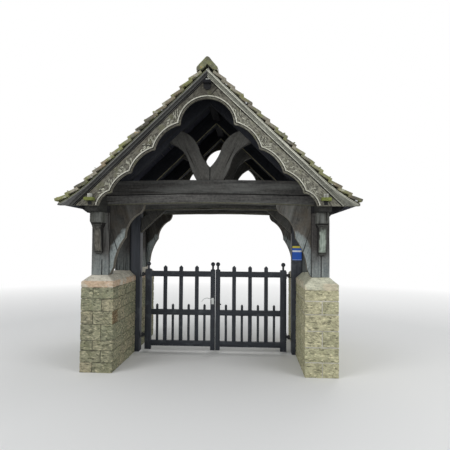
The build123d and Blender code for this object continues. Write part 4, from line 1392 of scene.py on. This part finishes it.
# Ironwork and the notice plate, which stay as the solids have them
black_iron = ironwork("black_iron", (0.030, 0.031, 0.034), 0.5, 0.4)
pale_iron = ironwork("pale_iron", (0.55, 0.57, 0.56), 0.4, 0.8)
notice_low, notice_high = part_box("notice_plate")
for node, material in (
    ("gate_hooks", black_iron),
    ("left_hinge_eyes", black_iron),
    ("right_hinge_eyes", black_iron),
    ("latch_catch", black_iron),
    ("latch_handle", pale_iron),
    ("notice_plate", notice_face(notice_low[2], notice_high[2])),
):
    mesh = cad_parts[node].data
    mesh.materials.clear()
    mesh.materials.append(material)


# Floor, backdrop, light and camera
def stage_material():
    """Pale paint that takes the object's shadow, and shows white to the camera away from it."""
    shader = Shader("stage_paint", roughness=0.9, specular=0.1)
    shader.feed(shader.surface.inputs["Base Color"], (0.80, 0.80, 0.78, 1))
    x, y = shader.axis(X_AXIS), shader.axis(Y_AXIS)
    away = shader.math("SQRT", x * x + y * y).band(4.5, 12.0)
    blend = shader.white_to_camera("ShaderNodeEmission", shader.surface.outputs[0], away)
    shader.feed(shader.tree.nodes["Material Output"].inputs["Surface"], blend)
    return shader.material


near, far, wide, high = -14.0, 16.0, 22.0, 16.0
curve = 3.0
profile = [(near, 0.0), (far - curve, 0.0)]
for step in range(1, 9):
    angle = math.radians(90 * step / 8)
    profile.append((far - curve + curve * math.sin(angle), curve - curve * math.cos(angle)))
profile.append((far, high))
bm = bmesh.new()
rows = [[bm.verts.new((x, y, z)) for x in (-wide, wide)] for y, z in profile]
for lower, upper in zip(rows, rows[1:]):
    bm.faces.new((lower[0], lower[1], upper[1], upper[0]))
mesh = bpy.data.meshes.new("studio_floor")
bm.to_mesh(mesh)
bm.free()
mesh.materials.append(stage_material())
studio = bpy.data.objects.new("studio_floor", mesh)
bpy.context.scene.collection.objects.link(studio)

for name, spot, target, watts in (
    ("key_light", (-7.0, -8.0, 6.0), (0, 0, 1.6), 450),
    ("fill_light", (7.8, -6.5, 4.5), (0, 0, 1.4), 320),
    ("rear_light", (3.0, 8.0, 8.0), (0, 0, 2.0), 300),
):
    lamp = bpy.data.lights.new(name, "AREA")
    lamp.size = 6.0
    lamp.energy = watts
    holder = bpy.data.objects.new(name, lamp)
    holder.location = spot
    holder.rotation_euler = (Vector(target) - Vector(spot)).to_track_quat("-Z", "Y").to_euler()
    bpy.context.scene.collection.objects.link(holder)

world = bpy.data.worlds.new("soft_world")
world.use_nodes = True
sky = Nodes(world.node_tree)
soft_light = sky.tree.nodes["Background"]
sky.feed(soft_light.inputs["Color"], (0.93, 0.95, 1.0, 1))
sky.feed(soft_light.inputs["Strength"], 0.58)
sky_shade = sky.white_to_camera("ShaderNodeBackground", soft_light.outputs[0])
sky.feed(sky.tree.nodes["World Output"].inputs["Surface"], sky_shade)
bpy.context.scene.world = world

camera_data = bpy.data.cameras.new("camera")
camera_data.sensor_width = sensor_width
camera_data.lens = sensor_width * focal_pixels / frame_pixels
camera = bpy.data.objects.new("camera", camera_data)
level_forward = Vector((-math.sin(yaw_left), math.cos(yaw_left), 0))
forward = level_forward * math.cos(pitch_up) + Z_AXIS * math.sin(pitch_up)
right = Vector((math.cos(yaw_left), math.sin(yaw_left), 0))
upward = right.cross(forward)
rolled_right = right * math.cos(camera_roll) + upward * math.sin(camera_roll)
rolled_up = upward * math.cos(camera_roll) - right * math.sin(camera_roll)
turn = Matrix((rolled_right, rolled_up, -forward)).transposed()
camera.matrix_world = Matrix.Translation(eye) @ turn.to_4x4()
bpy.context.scene.collection.objects.link(camera)
bpy.context.scene.camera = camera
bpy.context.scene.view_settings.view_transform = "Standard"
